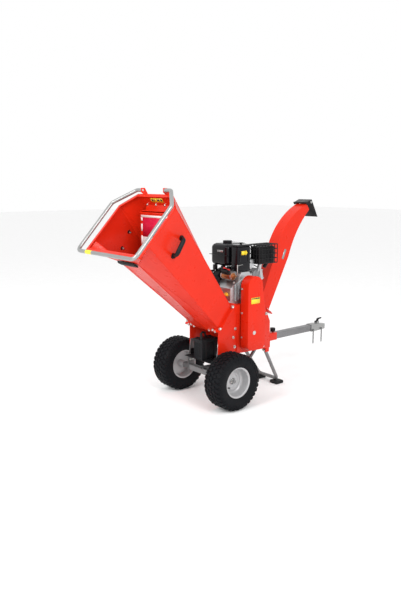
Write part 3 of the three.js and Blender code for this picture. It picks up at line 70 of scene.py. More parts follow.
def surface(name, colour, roughness, metallic=0.0, coat=0.0, grain=(400, 0.05), tone=0.1, dust=0.0,
            spangle=0, shine=0.5):
    """A finish: its colour drifts in patches, its grain is in the bump, and dust lies low on it."""
    material = bpy.data.materials.new(name)
    material.use_nodes = True
    nodes, links = material.node_tree.nodes, material.node_tree.links
    shader = nodes["Principled BSDF"]
    shader.inputs["Metallic"].default_value = metallic
    shader.inputs["Coat Weight"].default_value = coat
    shader.inputs["Coat Roughness"].default_value = 0.08
    shader.inputs["Specular IOR Level"].default_value = shine
    where = nodes.new("ShaderNodeTexCoord").outputs["Object"]

    def noise(scale, detail):
        node = nodes.new("ShaderNodeTexNoise")
        node.inputs["Scale"].default_value = scale
        node.inputs["Detail"].default_value = detail
        links.new(where, node.inputs["Vector"])
        return node.outputs["Fac"]

    def spread(value, low, high, start=0.3, end=0.7):
        node = nodes.new("ShaderNodeMapRange")
        node.inputs["From Min"].default_value = start
        node.inputs["From Max"].default_value = end
        node.inputs["To Min"].default_value = low
        node.inputs["To Max"].default_value = high
        links.new(value, node.inputs["Value"])
        return node.outputs["Result"]

    def mixed(amount, first, second):
        node = nodes.new("ShaderNodeMix")
        node.data_type = "RGBA"
        links.new(amount, node.inputs["Factor"])
        for socket, value in ((node.inputs["A"], first), (node.inputs["B"], second)):
            if isinstance(value, tuple):
                socket.default_value = value
            else:
                links.new(value, socket)
        return node.outputs["Result"]

    patches = noise(7, 4)
    deep = tuple(c * (1 - tone) for c in colour) + (1,)
    light = tuple(min(1, c * (1 + tone)) for c in colour) + (1,)
    shade = mixed(spread(patches, 0, 1), deep, light)
    if spangle:
        crystal = nodes.new("ShaderNodeTexVoronoi")
        crystal.inputs["Scale"].default_value = spangle
        links.new(where, crystal.inputs["Vector"])
        grey = tuple(c * 1.25 for c in colour) + (1,)
        shade = mixed(spread(crystal.outputs["Distance"], 0.0, 0.5, 0.1, 0.8), shade, grey)
    if dust:
        split = nodes.new("ShaderNodeSeparateXYZ")
        links.new(where, split.inputs["Vector"])
        low = spread(split.outputs["Z"], dust, 0.0, 0.0, 0.45)
        speck = nodes.new("ShaderNodeMath")
        speck.operation = "MULTIPLY"
        links.new(low, speck.inputs[0])
        links.new(spread(noise(60, 6), 0.2, 1), speck.inputs[1])
        shade = mixed(speck.outputs[0], shade, (0.25, 0.2, 0.15, 1))
    links.new(shade, shader.inputs["Base Color"])
    links.new(spread(noise(18, 5), roughness * 0.85, roughness * 1.2), shader.inputs["Roughness"])
    bump = nodes.new("ShaderNodeBump")
    bump.inputs["Strength"].default_value = grain[1]
    bump.inputs["Distance"].default_value = 0.001
    links.new(noise(grain[0], 2), bump.inputs["Height"])
    links.new(bump.outputs["Normal"], shader.inputs["Normal"])
    return material


def rod(bm, start, end, radius, sides=20, tip=None):
    """A round bar, or with a tip radius a cone, between two points."""
    along = end - start
    turn = along.to_track_quat("Z", "Y").to_matrix().to_4x4()
    made = bmesh.ops.create_cone(
        bm, cap_ends=True, segments=sides, radius1=radius, radius2=radius if tip is None else tip,
        depth=along.length, matrix=Matrix.Translation((start + end) / 2) @ turn)
    return made["verts"]


def brick(bm, low, high, edge=0.001, segments=2):
    """A block between two corners with its edges broken."""
    made = bmesh.ops.create_cube(bm, size=1)["verts"]
    size, middle = high - low, (low + high) / 2
    bmesh.ops.scale(bm, vec=size, verts=made)
    bmesh.ops.translate(bm, vec=middle, verts=made)
    if edge:
        edges = {e for v in made for e in v.link_edges}
        made = bmesh.ops.bevel(bm, geom=list(edges), affect="EDGES", offset=edge, segments=segments,
                               profile=0.5, material=-1, clamp_overlap=True)["verts"]
    return made


def turned(bm, profile, sides, centre, way):
    """A ring or solid of revolution: [radius, height] points spun about `way` through `centre`."""
    points = [bm.verts.new((r, 0, h)) for r, h in profile]
    edges = [bm.edges.new(pair) for pair in zip(points, points[1:])]
    if (profile[0][0], profile[-1][0]) != (0, 0):
        edges.append(bm.edges.new((points[-1], points[0])))
    bmesh.ops.spin(bm, geom=points + edges, cent=(0, 0, 0), axis=(0, 0, 1), dvec=(0, 0, 0),
                   angle=2 * pi, steps=sides, use_merge=True, use_duplicate=False)
    found, todo = set(points), list(points)
    while todo:
        for edge in todo.pop().link_edges:
            for vert in edge.verts:
                if vert not in found:
                    found.add(vert)
                    todo.append(vert)
    found = list(found)
    turn = way.to_track_quat("Z", "Y").to_matrix().to_4x4()
    bmesh.ops.transform(bm, matrix=Matrix.Translation(centre) @ turn, verts=found)
    bmesh.ops.remove_doubles(bm, verts=found, dist=1e-6)
    faces = {f for v in found if v.is_valid for f in v.link_faces}
    bmesh.ops.recalc_face_normals(bm, faces=list(faces))
    return found


def finished(bm, name, material, body, replaces=(), turn=42):
    """A piece goes into the scene: corners sharper than `turn` stay crisp, the rest shade smoothly."""
    for face in bm.faces:
        face.smooth = True
    for edge in bm.edges:
        edge.smooth = len(edge.link_faces) == 2 and edge.calc_face_angle(0) < radians(turn)
    mesh = bpy.data.meshes.new(name)
    bm.to_mesh(mesh)
    bm.free()
    piece = bpy.data.objects.new(name, mesh)
    bpy.context.scene.collection.objects.link(piece)
    mesh.materials.append(material)
    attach(piece, body)
    if replaces:
        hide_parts(*replaces)


tyre_rubber = surface("tyre_rubber", (0.0045, 0.005, 0.0065), 0.6, grain=(900, 0.2), tone=0.2,
                      shine=0.12)
rim_enamel = surface("rim_enamel", (0.42, 0.42, 0.43), 0.36, metallic=0.3, coat=0.2, tone=0.05,
                     dust=0.1)
rim_r = 0.102
carcass_r = tyre_r - 0.0085
tread_half = 0.066
block_rows = 5
blocks_round = 34
plated_steel = surface("plated_steel", (0.6, 0.6, 0.58), 0.28, metallic=0.95, grain=(300, 0.04),
                       tone=0.12)
soft_black = surface("soft_black", (0.010, 0.010, 0.011), 0.6, grain=(700, 0.15), tone=0.2, shine=0.2)

for side, sign in (("near", -1), ("far", 1)):
    body = f"wheel_{side}"
    hub = place(0, sign * wheel_y, tyre_r)
    out = Vector((0, sign, 0))
    tyre = bmesh.new()
    outline = [(rim_r, -0.060), (0.108, -0.066), (0.114, -0.0695), (0.126, -0.074),
               (0.146, -0.0785), (0.168, -0.0785), (0.180, -0.0755), (0.187, -0.0700),
               (0.1915, -0.0600), (carcass_r, -0.045)]
    outline += [(carcass_r + 0.001, 0)] + [(r, -h) for r, h in reversed(outline)]
    turned(tyre, outline, 88, hub, out)
    for row in range(block_rows):
        shift = 2 * row / (block_rows - 1) - 1
        shoulder = row in (0, block_rows - 1)
        drop = 0.0002 + 0.0035 * abs(shift) ** 4
        for i in range(blocks_round):
            angle = 2 * pi * (i + 0.5 * (row % 2)) / blocks_round
            half = Vector((0.0120, 0.0150 if shoulder else 0.0125, 0.0075))
            lug = brick(tyre, -half, half, 0)
            top = [v for v in lug if v.co.z > 0]
            bmesh.ops.scale(tyre, vec=(0.78, 0.84, 1), verts=top)
            tilt = Matrix.Rotation(-radians(24) * shift ** 3, 4, "X")
            skew = Matrix.Rotation(radians(24) * (1 if row % 2 else -1), 4, "Z")
            lift = Matrix.Translation((0, shift * (tread_half - 0.006), tyre_r - 0.0089 - drop))
            spin = Matrix.Rotation(angle, 4, "Y")
            bmesh.ops.transform(tyre, matrix=Matrix.Translation(hub) @ spin @ lift @ tilt @ skew,
                                verts=lug)
    for edge in (-1, 1):
        for i in range(2 * blocks_round):
            angle = pi * (i + 0.5) / blocks_round
            half_x, half_z, sunk = (0.0052, 0.0150, 0.0270) if i % 2 else (0.0035, 0.0090, 0.0220)
            half = Vector((half_x, 0.0040, half_z))
            rib = brick(tyre, -half, half, 0)
            tilt = Matrix.Rotation(edge * radians(19), 4, "X")
            lift = Matrix.Translation((0, edge * 0.0735, tyre_r - sunk))
            spin = Matrix.Rotation(angle, 4, "Y")
            bmesh.ops.transform(tyre, matrix=Matrix.Translation(hub) @ spin @ lift @ tilt, verts=rib)
    finished(tyre, f"turf_tyre_{side}", tyre_rubber, body, [f"tyre_{side}"], 30)

    rim = bmesh.new()
    lip = [(0.0955, 0.038), (0.097, 0.054), (0.0985, 0.0615), (0.1045, 0.0655), (0.1095, 0.0668),
           (0.1112, 0.0655), (0.1105, 0.0638), (0.1035, 0.0615), (0.1016, 0.058), (0.1012, 0.040),
           (0.098, 0.030)]
    outer = [(0.0129, 0.008), (0.0235, 0.008), (0.0245, 0.007), (0.0245, 0.001), (0.030, 0.0),
             (0.047, 0.0), (0.050, 0.004), (0.062, 0.0045), (0.066, 0.0005), (0.080, -0.001),
             (0.087, 0.003), (0.0925, 0.014)]
    inner = [(0.0925, -0.020), (0.087, -0.009), (0.066, -0.008), (0.050, -0.005), (0.030, -0.008),
             (0.0245, -0.009), (0.0245, -0.065), (0.0235, -0.067), (0.0129, -0.067)]
    turned(rim, outer + lip + [(r, -h) for r, h in reversed(lip)] + inner, 72, hub, out)
    finished(rim, f"wheel_rim_{side}", rim_enamel, body, [f"rim_{side}"], 35)

    valve = bmesh.new()
    foot = hub + Vector((-0.076, 0, -0.030)) + out * 0.012
    rod(valve, foot, foot + out * 0.012 + Vector((0.002, 0, 0.001)), 0.0075, 14, 0.0055)
    rod(valve, foot + out * 0.011, foot + out * 0.034 + Vector((0.006, 0, 0.003)), 0.0042, 14)
    rod(valve, foot + out * 0.032 + Vector((0.006, 0, 0.003)),
        foot + out * 0.041 + Vector((0.008, 0, 0.004)), 0.005, 10)
    finished(valve, f"tyre_valve_{side}", soft_black, body)

# Axle: a galvanised square tube with turned spindles, bracket plates welded upright on it and a
# round strut running back under the chassis. A washer and nut hold each wheel on.
def worked_copy(node, edge=0.0008, limit=50, segments=2):
    """A node's shape with its flat faces merged and its sharp edges rounded off."""
    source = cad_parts[node]
    bm = bmesh.new()
    bm.from_mesh(source.data)
    bm.transform(source.matrix_world)
    bmesh.ops.remove_doubles(bm, verts=bm.verts, dist=1e-5)
    bmesh.ops.dissolve_limit(bm, angle_limit=radians(0.5), use_dissolve_boundaries=False,
                             verts=bm.verts, edges=bm.edges)
    if edge:
        sharp = [e for e in bm.edges
                 if len(e.link_faces) == 2 and e.calc_face_angle(0) > radians(limit)]
        bmesh.ops.bevel(bm, geom=sharp, affect="EDGES", offset=edge, segments=segments, profile=0.5,
                        material=-1, clamp_overlap=True)
    return bm


def dressed(node, name, material, body, edge=0.0008, limit=50, segments=2, turn=42):
    """A node itself, with its edges rounded, as the piece that stands in for it."""
    finished(worked_copy(node, edge, limit, segments), name, material, body, [node], turn)


def bolt(bm, seat, way, across=0.010, head=0.0065, washer=0.0):
    """A hexagon head on a seat, with a washer under it if one is asked for."""
    way = way.normalized()
    foot = seat
    if washer:
        turned(bm, [(0, 0), (washer, 0), (washer, 0.0013), (washer - 0.0004, 0.0017), (0, 0.0017)],
               24, seat, way)
        foot = seat + way * 0.0017
    head_verts = rod(bm, foot, foot + way * head, across * 0.577, 6)
    rims = {e for v in head_verts for e in v.link_edges}
    rims = [e for e in rims if all((v.co - foot).dot(way) > head * 0.9 for v in e.verts)]
    bmesh.ops.bevel(bm, geom=rims, affect="EDGES", offset=across * 0.07, segments=2, profile=0.5,
                    material=-1, clamp_overlap=True)


galvanised = surface("galvanised", (0.19, 0.19, 0.195), 0.42, metallic=0.6, grain=(260, 0.12),
                     tone=0.16, dust=0.15, spangle=90)
dressed("axle", "axle_beam", galvanised, "chassis", 0.0015)
spindle_ends = bmesh.new()
for sign in (-1, 1):
    way = Vector((0, sign, 0))
    seat = place(0, sign * 0.3117, tyre_r)
    turned(spindle_ends, [(0.0126, 0), (0.0175, 0), (0.0175, 0.0015), (0.0168, 0.002), (0.0126, 0.002)],
           32, seat, way)
    turned(spindle_ends, [(0.0126, 0.0022), (0.0158, 0.0022), (0.0158, 0.013), (0.0150, 0.0145),
                          (0.0126, 0.0145)], 6, seat, way)
    pin, reach = place(0, sign * 0.3285, tyre_r), Vector((0.018, 0, 0))
    rod(spindle_ends, pin - reach, pin + reach, 0.0014, 10)
    for up in (-0.005, 0.003):
        rod(spindle_ends, pin + reach, pin + Vector((0.024, sign * 0.001, up)), 0.001, 8)
finished(spindle_ends, "spindle_nuts", plated_steel, "chassis")
for side, sign in (("near", -1), ("far", 1)):
    seal = bmesh.new()
    turned(seal, [(0.0130, 0), (0.0225, 0), (0.0225, 0.0022), (0.0215, 0.0030), (0.0130, 0.0030)],
           40, place(0, sign * 0.3117, tyre_r) - Vector((0, sign * 0.0031, 0)), Vector((0, sign, 0)))
    finished(seal, f"hub_seal_{side}", soft_black, f"wheel_{side}")
bracket_bolts = bmesh.new()
for sign in (-1, 1):
    for x in (-0.013, 0.013):
        for z in (0.262, 0.300):
            bolt(bracket_bolts, place(x, sign * 0.159, z), Vector((0, -sign, 0)), 0.013, 0.008, 0.012)
finished(bracket_bolts, "bracket_bolts", plated_steel, "chassis")

# Chassis: two folded steel side plates and a deck, painted red, with a welded receiver for the
# drawbar. Plated bolts with washers hold it together.
red_enamel = surface("red_enamel", (0.64, 0.020, 0.005), 0.30, coat=0.06, grain=(120, 0.01), tone=0.04,
                     shine=0.16)
plate_bolts = bmesh.new()
for side, sign in (("near", -1), ("far", 1)):
    dressed(f"side_plate_{side}", f"chassis_side_{side}", red_enamel, "chassis", 0.001)
    for x, z in ((0.155, 0.529), (0.137, 0.468), (0.150, 0.396), (0.440, 0.354), (0.020, 0.352),
                 (0.470, 0.600)):
        bolt(plate_bolts, place(x, sign * 0.1632, z), Vector((0, sign, 0)), 0.013, 0.008, 0.012)
for node in ("engine_deck", "drawbar_receiver"):
    dressed(node, f"{node}_plate", red_enamel, "chassis", 0.001)
for x in (0.150, 0.430):
    for y in (-0.140, 0.140):
        bolt(plate_bolts, place(x, y, 0.7004), Vector((0, 0, 1)), 0.013, 0.008, 0.012)
for y in (-0.125, 0.125):
    for z in (0.352, 0.412):
        bolt(plate_bolts, place(0.5180, y, z), Vector((1, 0, 0)), 0.013, 0.008, 0.012)
finished(plate_bolts, "chassis_bolts", plated_steel, "chassis")

# Rotor housing and its running gear: a red drum with the rotor on a through shaft, two bolted-in
# knives against a fixed one, cast flange bearings, and a belt down from the engine's pulley.
cast_alloy = surface("cast_alloy", (0.52, 0.53, 0.54), 0.36, metallic=0.85, grain=(420, 0.35),
                     tone=0.12)
bare_steel = surface("bare_steel", (0.35, 0.35, 0.35), 0.34, metallic=0.9, grain=(220, 0.1), tone=0.15)
dressed("rotor_housing", "chipping_drum", red_enamel, "chassis", 0.0008, turn=30)
dressed("rotor", "rotor_drum", bare_steel, "rotor", 0.001, turn=30)
for node, body in (("knife_1", "rotor"), ("knife_2", "rotor"), ("counter_knife", "chassis")):
    dressed(node, f"{node}_blade", plated_steel, body, 0.0003)
for side, sign in (("near", -1), ("far", 1)):
    dressed(f"rotor_bearing_{side}", f"flange_bearing_{side}", cast_alloy, "chassis",
            0.002, segments=3)
bearing_bolts = bmesh.new()
rotor_at = place(0.262, 0, 0.499)
for x in (-0.027, 0.027):
    for z in (-0.027, 0.027):
        bolt(bearing_bolts, rotor_at + Vector((x, 0.1722, z)), Vector((0, 1, 0)), 0.010, 0.006, 0.0085)
finished(bearing_bolts, "bearing_bolts", plated_steel, "chassis")
for node, body in (("rotor_pulley", "rotor"), ("engine_pulley", "engine_pulley")):
    dressed(node, f"{node}_wheel", bare_steel, body, 0.0006, turn=30)
dressed("drive_belt", "rubber_belt", soft_black, "chassis", 0.0006)
throat_lean = radians(50.3)
throat_way = Vector((-sin(throat_lean), 0, cos(throat_lean)))


def throat_at(up, y, out=0.0):
    """A point on the throat flange: up its slope from the hinge edge, and out of the housing."""
    return place(-0.006 + up * cos(throat_lean) - out * sin(throat_lean), y,
                 0.553 + up * sin(throat_lean) + out * cos(throat_lean))


flange_bolts = bmesh.new()
for sign in (-1, 1):
    for up in (0.0, 0.183):
        bolt(flange_bolts, throat_at(up, sign * 0.185, 0.0050), throat_way, 0.015, 0.009, 0.014)
for y in (-0.12, 0.12):
    bolt(flange_bolts, throat_at(-0.021, y, 0.0050), throat_way, 0.013, 0.008, 0.012)
finished(flange_bolts, "throat_bolts", plated_steel, "hopper")

# Belt guard: one deep-drawn red cover held by screws down its edge, with an inspection hole over
# the lower shaft and a plain two-tone label near its middle.
dressed("belt_guard", "belt_cover", red_enamel, "chassis", 0.004, 60, 4, turn=30)
sticker_yellow = surface("sticker_yellow", (0.86, 0.62, 0.02), 0.35, tone=0.04)
sticker_dark = surface("sticker_dark", (0.03, 0.03, 0.032), 0.35, tone=0.1)
guard_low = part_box("belt_guard")[0]


def label(bm, corners, thick=0.0004):
    """A thin film laid over its corners, its outer side where they run anticlockwise."""
    first = corners[0]
    normal = (corners[1] - first).cross(corners[-1] - first).normalized()
    low = [bm.verts.new(p) for p in corners]
    high = [bm.verts.new(p + normal * thick) for p in corners]
    bm.faces.new(high)
    bm.faces.new(low[::-1])
    for i in range(len(corners)):
        j = (i + 1) % len(corners)
        bm.faces.new((low[i], low[j], high[j], high[i]))


def patch(at, first, second, out):
    """Corners of a rectangle on the surface that `at` describes, from its two ranges."""
    (a, b), (c, d) = first, second
    return [at(a, c, out), at(b, c, out), at(b, d, out), at(a, d, out)]


def on_guard(x, z, out):
    """A point just off the belt guard's outer face."""
    return Vector((axle_x + x, guard_low.y - out, z))


guard_label = bmesh.new()
label(guard_label, patch(on_guard, (0.228, 0.313), (0.712, 0.757), 0.0002))
finished(guard_label, "guard_label", sticker_yellow, "chassis")
guard_band = bmesh.new()
for span in ((0.231, 0.242), (0.246, 0.262), (0.265, 0.289), (0.292, 0.310)):
    label(guard_band, patch(on_guard, span, (0.745, 0.754), 0.0007))
finished(guard_band, "guard_label_band", sticker_dark, "chassis")
guard_screws = bmesh.new()
for z in (0.461, 0.641, 0.819):
    bolt(guard_screws, Vector((guard_low.x, -0.184, z)), Vector((-1, 0, 0)), 0.010, 0.005, 0.008)
turned(guard_screws, [(0, 0), (0.015, 0), (0.015, 0.0012), (0.014, 0.002), (0.0105, 0.002),
                      (0.0095, 0.0035), (0, 0.0035)],
       32, on_guard(0.262, 0.499, 0), Vector((0, -1, 0)))
finished(guard_screws, "guard_screws", plated_steel, "chassis")

# Infeed hopper: folded and seam-welded red sheet with a turned-in hem round its mouth, a black
# bumper-shaped strip under the front lip that is painted shade for the shadowed underside of the
# lip's fold, and two bolted D-shaped lifting handles.
dressed("hopper", "infeed_hopper", red_enamel, "hopper", 0.0012, 40, turn=34)
mouth_lean = radians(47)


def on_mouth(up, y, out=0.0):
    """A point on the mouth's plane: up its slope from the lower lip, and out of the hopper."""
    return place(-0.769 + up * cos(mouth_lean) - out * sin(mouth_lean), y,
                 1.122 + up * sin(mouth_lean) + out * cos(mouth_lean))


def rounded(points, cut_of, steps=8):
    """The way along some corner points, each corner cut back by what `cut_of` says and curved."""
    path = [points[0]]
    for before, point, after in zip(points, points[1:], points[2:]):
        before, after = before - point, after - point
        cut = cut_of(before, after)
        start, end = point + before.normalized() * cut, point + after.normalized() * cut
        for step in range(steps + 1):
            t = step / steps
            path.append(start * (1 - t) ** 2 + point * 2 * t * (1 - t) + end * t ** 2)
    return path + [points[-1]]


def pipe(name, points, radius, material, body, replaces=(), bend=0.03, sides=24):
    """A round tube or bar along corner points, each corner rounded to the bend radius."""
    def bend_cut(before, after):
        half = before.angle(after) / 2
        return min(bend / max(0.05, abs(sin(half) / cos(half))), before.length * 0.49,
                   after.length * 0.49)

    path = rounded(points, bend_cut)
    curve = bpy.data.curves.new(name, "CURVE")
    curve.dimensions = "3D"
    curve.bevel_depth = radius
    curve.bevel_resolution = sides // 4
    curve.use_fill_caps = True
    line = curve.splines.new("POLY")
    line.points.add(len(path) - 1)
    for spot, point in zip(line.points, path):
        spot.co = (*point, 1)
    curve.twist_mode = "MINIMUM"
    shape = bpy.data.objects.new(name, curve)
    bpy.context.scene.collection.objects.link(shape)
    bpy.context.view_layer.update()
    evaluated = shape.evaluated_get(bpy.context.evaluated_depsgraph_get())
    mesh = bpy.data.meshes.new_from_object(evaluated)
    bpy.data.objects.remove(shape)
    bm = bmesh.new()
    bm.from_mesh(mesh)
    bpy.data.meshes.remove(mesh)
    bmesh.ops.remove_doubles(bm, verts=bm.verts, dist=1e-6)
    finished(bm, name, material, body, replaces, 50)


# The bumper's black is painted shade: it stands for the shadowed underside of the mouth's folded lip.
dressed("hopper_bumper", "painted_shade_bumper", soft_black, "hopper", 0.004, 30, 3)
black_nylon = surface("black_nylon", (0.010, 0.0105, 0.012), 0.38, grain=(800, 0.2), tone=0.15,
                      shine=0.14)
handle_bolts = bmesh.new()
for side, sign in (("near", -1), ("far", 1)):
    low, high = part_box(f"grab_handle_{side}")
    source = worked_copy(f"grab_handle_{side}", 0)
    feet = []
    for cut_z in (low.z, high.z):
        near_end = [v.co.copy() for v in source.verts
                    if abs(v.co.z - cut_z) < 0.019 and abs(v.co.y) < 0.309]
        feet.append(sum(near_end, Vector()) / max(1, len(near_end)))
    source.free()
    up = (feet[1] - feet[0]).normalized()
    stand = Vector((-0.014, sign * 0.052, 0.005))
    grip = bmesh.new()
    bow = [feet[0] + up * 0.002, feet[0] + stand + up * 0.004, feet[1] + stand - up * 0.004,
           feet[1] - up * 0.002]
    across = up.cross(stand).normalized()
    path = rounded(bow, lambda before, after: 0.026)
    rings = []
    for i, point in enumerate(path):
        along = (path[min(i + 1, len(path) - 1)] - path[max(i - 1, 0)]).normalized()
        deep = along.cross(across).normalized()
        swell = 1 + 0.16 * sin(pi * i / (len(path) - 1)) ** 2
        rings.append([grip.verts.new(point + across * cos(a) * 0.0128 * swell
                                     + deep * sin(a) * 0.0092 * swell)
                      for a in (2 * pi * k / 20 for k in range(20))])
    for first, second in zip(rings, rings[1:]):
        for k in range(20):
            grip.faces.new((first[k], first[(k + 1) % 20], second[(k + 1) % 20], second[k]))
    grip.faces.new(rings[0][::-1])
    grip.faces.new(rings[-1])
    bmesh.ops.recalc_face_normals(grip, faces=grip.faces)
    finished(grip, f"lifting_handle_{side}", black_nylon, "hopper",
             [f"grab_handle_{side}"])
    pads = bmesh.new()
    outward = stand.normalized()
    for foot in feet:
        turned(pads, [(0, -0.001), (0.018, -0.001), (0.018, 0.004), (0.014, 0.010), (0, 0.010)], 24,
               foot - outward * 0.001, outward)
        bolt(handle_bolts, foot - outward * 0.006, -stand, 0.010, 0.005, 0.010)
    finished(pads, f"handle_feet_{side}", black_nylon, "hopper")
finished(handle_bolts, "handle_bolts", plated_steel, "hopper")


def weld(bm, start, end, ripple=0.003):
    """A rippled bead of weld between two points."""
    count = int((end - start).length / ripple)
    turn = (end - start).to_track_quat("Z", "Y")
    rings = []
    for k in range(1, count):
        radius = 0.0022 if k % 2 else 0.0015
        centre = start.lerp(end, k / count)
        rings.append([bm.verts.new(centre + turn @ Vector((radius * cos(a), radius * sin(a), 0)))
                      for a in (2 * pi * i / 8 for i in range(8))])
    for first, second in zip(rings, rings[1:]):
        for i in range(8):
            bm.faces.new((first[i], first[(i + 1) % 8], second[(i + 1) % 8], second[i]))
    bm.faces.new(rings[0][::-1])
    bm.faces.new(rings[-1])


hopper_welds = bmesh.new()
for sign in (-1, 1):
    crease, tray = on_mouth(0.091, sign * 0.325), place(-0.632, sign * 0.100, 1.052)
    for start, end in ((crease, throat_at(0.0, sign * 0.165)), (tray, throat_at(0.0, sign * 0.165)),
                       (tray, throat_at(-0.033, sign * 0.065)),
                       (on_mouth(0.397, sign * 0.325), throat_at(0.183, sign * 0.165)),
                       (on_mouth(0.505, sign * 0.195), throat_at(0.190, sign * 0.115))):
        weld(hopper_welds, start, end)
finished(hopper_welds, "hopper_weld_beads", red_enamel, "hopper", turn=60)
keel_bolts = bmesh.new()
for y in (-0.150, -0.085, 0.150, 0.085):
    bolt(keel_bolts, place(-0.024, y, 0.5325), throat_way, 0.013, 0.008, 0.012)
finished(keel_bolts, "keel_bolts", plated_steel, "hopper")
roof_top = on_mouth(0.505, 0)
roof_way = (throat_at(0.190, 0) - roof_top).normalized()
roof_down = Vector((roof_way.z, 0, -roof_way.x))


def under_roof(along, y, out=0.0034):
    """A point on the underside of the hopper's roof, down its slope from the mouth."""
    return roof_top + roof_way * along + roof_down * out + Vector((0, y, 0))


roof_label = bmesh.new()
label(roof_label, patch(under_roof, (0.028, 0.062), (-0.058, 0.078), 0.0034)[::-1])
finished(roof_label, "roof_label", sticker_yellow, "hopper")
roof_marks = bmesh.new()
for span in ((-0.050, -0.030), (-0.020, 0.010), (0.030, 0.042), (0.050, 0.068)):
    label(roof_marks, patch(under_roof, (0.038, 0.052), span, 0.0039)[::-1])
finished(roof_marks, "roof_label_marks", sticker_dark, "hopper")
roof_bolts = bmesh.new()
for y in (-0.150, -0.050, 0.050, 0.150):
    bolt(roof_bolts, under_roof(0.085, y), roof_down, 0.012, 0.006, 0.011)
    bolt(roof_bolts, under_roof(0.085, y, -0.0005), -roof_down, 0.012, 0.004, 0.011)
finished(roof_bolts, "roof_bolts", plated_steel, "hopper")

# Stop bar: a bright plated tube hooped round the mouth. Its two ends turn on pins in ears on the
# hopper's roof; a yellow tape sleeve marks the lower run.
zinc_bright = surface("zinc_bright", (0.33, 0.335, 0.33), 0.34, metallic=0.7, grain=(200, 0.05),
                      tone=0.08)
bar_r = 0.013
bend_at = on_mouth(0.397, 0, 0.040)
hoop = [[place(-0.4346, sign * 0.128, 1.5183), place(-0.4346, sign * 0.191, 1.5183),
         Vector((bend_at.x - 0.014, sign * 0.343, bend_at.z - 0.008)),
         place(-0.821, sign * 0.343, 1.122)] for sign in (-1, 1)]
pipe("stop_bar_hoop", hoop[0] + hoop[1][::-1], bar_r, zinc_bright, "stop_bar",
     ["stop_bar"], bend=0.042, sides=32)
bar_nuts = bmesh.new()
for sign in (-1, 1):
    bolt(bar_nuts, place(-0.4346, sign * 0.1277, 1.5183), Vector((0, -sign, 0)), 0.014, 0.003,
         0.0105)
finished(bar_nuts, "stop_bar_nuts", plated_steel, "stop_bar")
tape_yellow = surface("tape_yellow", (0.88, 0.66, 0.03), 0.4, tone=0.05)
pipe("stop_bar_tape", [place(-0.821, 0.150, 1.122), place(-0.821, 0.222, 1.122)], bar_r + 0.0006,
     tape_yellow, "stop_bar", sides=32)

# Feed flap: a thick moulded panel hanging on a pin across the hopper, bordered in white with a
# plain crimson field and a white one below it. Its bracket is bolted up to the roof.
dressed("flap_bracket", "flap_hanger", red_enamel, "hopper", 0.0008)
flap_crimson = surface("flap_crimson", (0.66, 0.012, 0.06), 0.33, coat=0.3, tone=0.05)
flap_white = surface("flap_white", (0.80, 0.80, 0.79), 0.36, tone=0.03)
dressed("feed_flap", "flap_panel", red_enamel, "feed_flap", 0.0010, turn=30)


def on_flap(y, z, out):
    """A point just off the flap's front face."""
    return place(-0.4022 - out, y, z)


white_fields = [((0.200, -0.200), (1.335, 1.350)), ((-0.182, -0.200), (1.019, 1.333))]
white_fields += [((0.200, 0.182), span) for span in ((1.019, 1.110), (1.150, 1.210), (1.240, 1.290),
                                                     (1.310, 1.333))]
white_fields += [((0.180, -0.180), (1.019, 1.203))]
crimson_fields = [((0.180, -0.180), (1.205, 1.333))]
for name, material, fields in (("flap_white_fields", flap_white, white_fields),
                               ("flap_crimson_field", flap_crimson, crimson_fields)):
    film = bmesh.new()
    for across, up in fields:
        label(film, patch(on_flap, across, up, 0.0))
    finished(film, name, material, "feed_flap")

# Discharge chute: a welded red spout rising from the housing and curving back over the drawbar,
# with a pivoted black deflector on its lip held by two hand nuts.
dressed("discharge_chute", "spout", red_enamel, "chassis", 0.0010, 50, turn=20)
black_enamel = surface("black_enamel", (0.010, 0.010, 0.011), 0.32, coat=0.04, grain=(160, 0.05),
                       tone=0.15, shine=0.14)
dressed("deflector", "spout_deflector", black_enamel, "deflector", 0.0008)
spout_bolts = bmesh.new()
base_lean = radians(37)
base_way = Vector((sin(base_lean), 0, cos(base_lean)))
base_spots = [(y, up) for y in (-0.066, 0.066) for up in (-0.070, -0.024, 0.024, 0.070)]
base_spots += [(y, up) for y in (-0.030, 0.030) for up in (-0.070, 0.070)]
for y, up in base_spots:
    seat = place(0.555 + up * cos(base_lean), y, 0.6155 - up * sin(base_lean))
    bolt(spout_bolts, seat + base_way * 0.0045, base_way, 0.010, 0.006, 0.0085)
finished(spout_bolts, "spout_bolts", plated_steel, "chassis")
name_plate = bmesh.new()
plate_at = place(0.766, -0.0531, 1.018)
plate_up, plate_side = Vector((0.40, 0, 0.917)) * 0.040, Vector((0.917, 0, -0.40)) * 0.011
label(name_plate, [plate_at - plate_up - plate_side, plate_at - plate_up + plate_side,
                   plate_at + plate_up + plate_side, plate_at + plate_up - plate_side], 0.001)
finished(name_plate, "spout_plate", zinc_bright, "chassis")
deflector_bolts = bmesh.new()
for sign in (-1, 1):
    bolt(deflector_bolts, place(1.051, sign * 0.0681, 1.415), Vector((0, sign, 0)), 0.010, 0.006,
         0.0095)
finished(deflector_bolts, "deflector_bolts", plated_steel, "deflector")

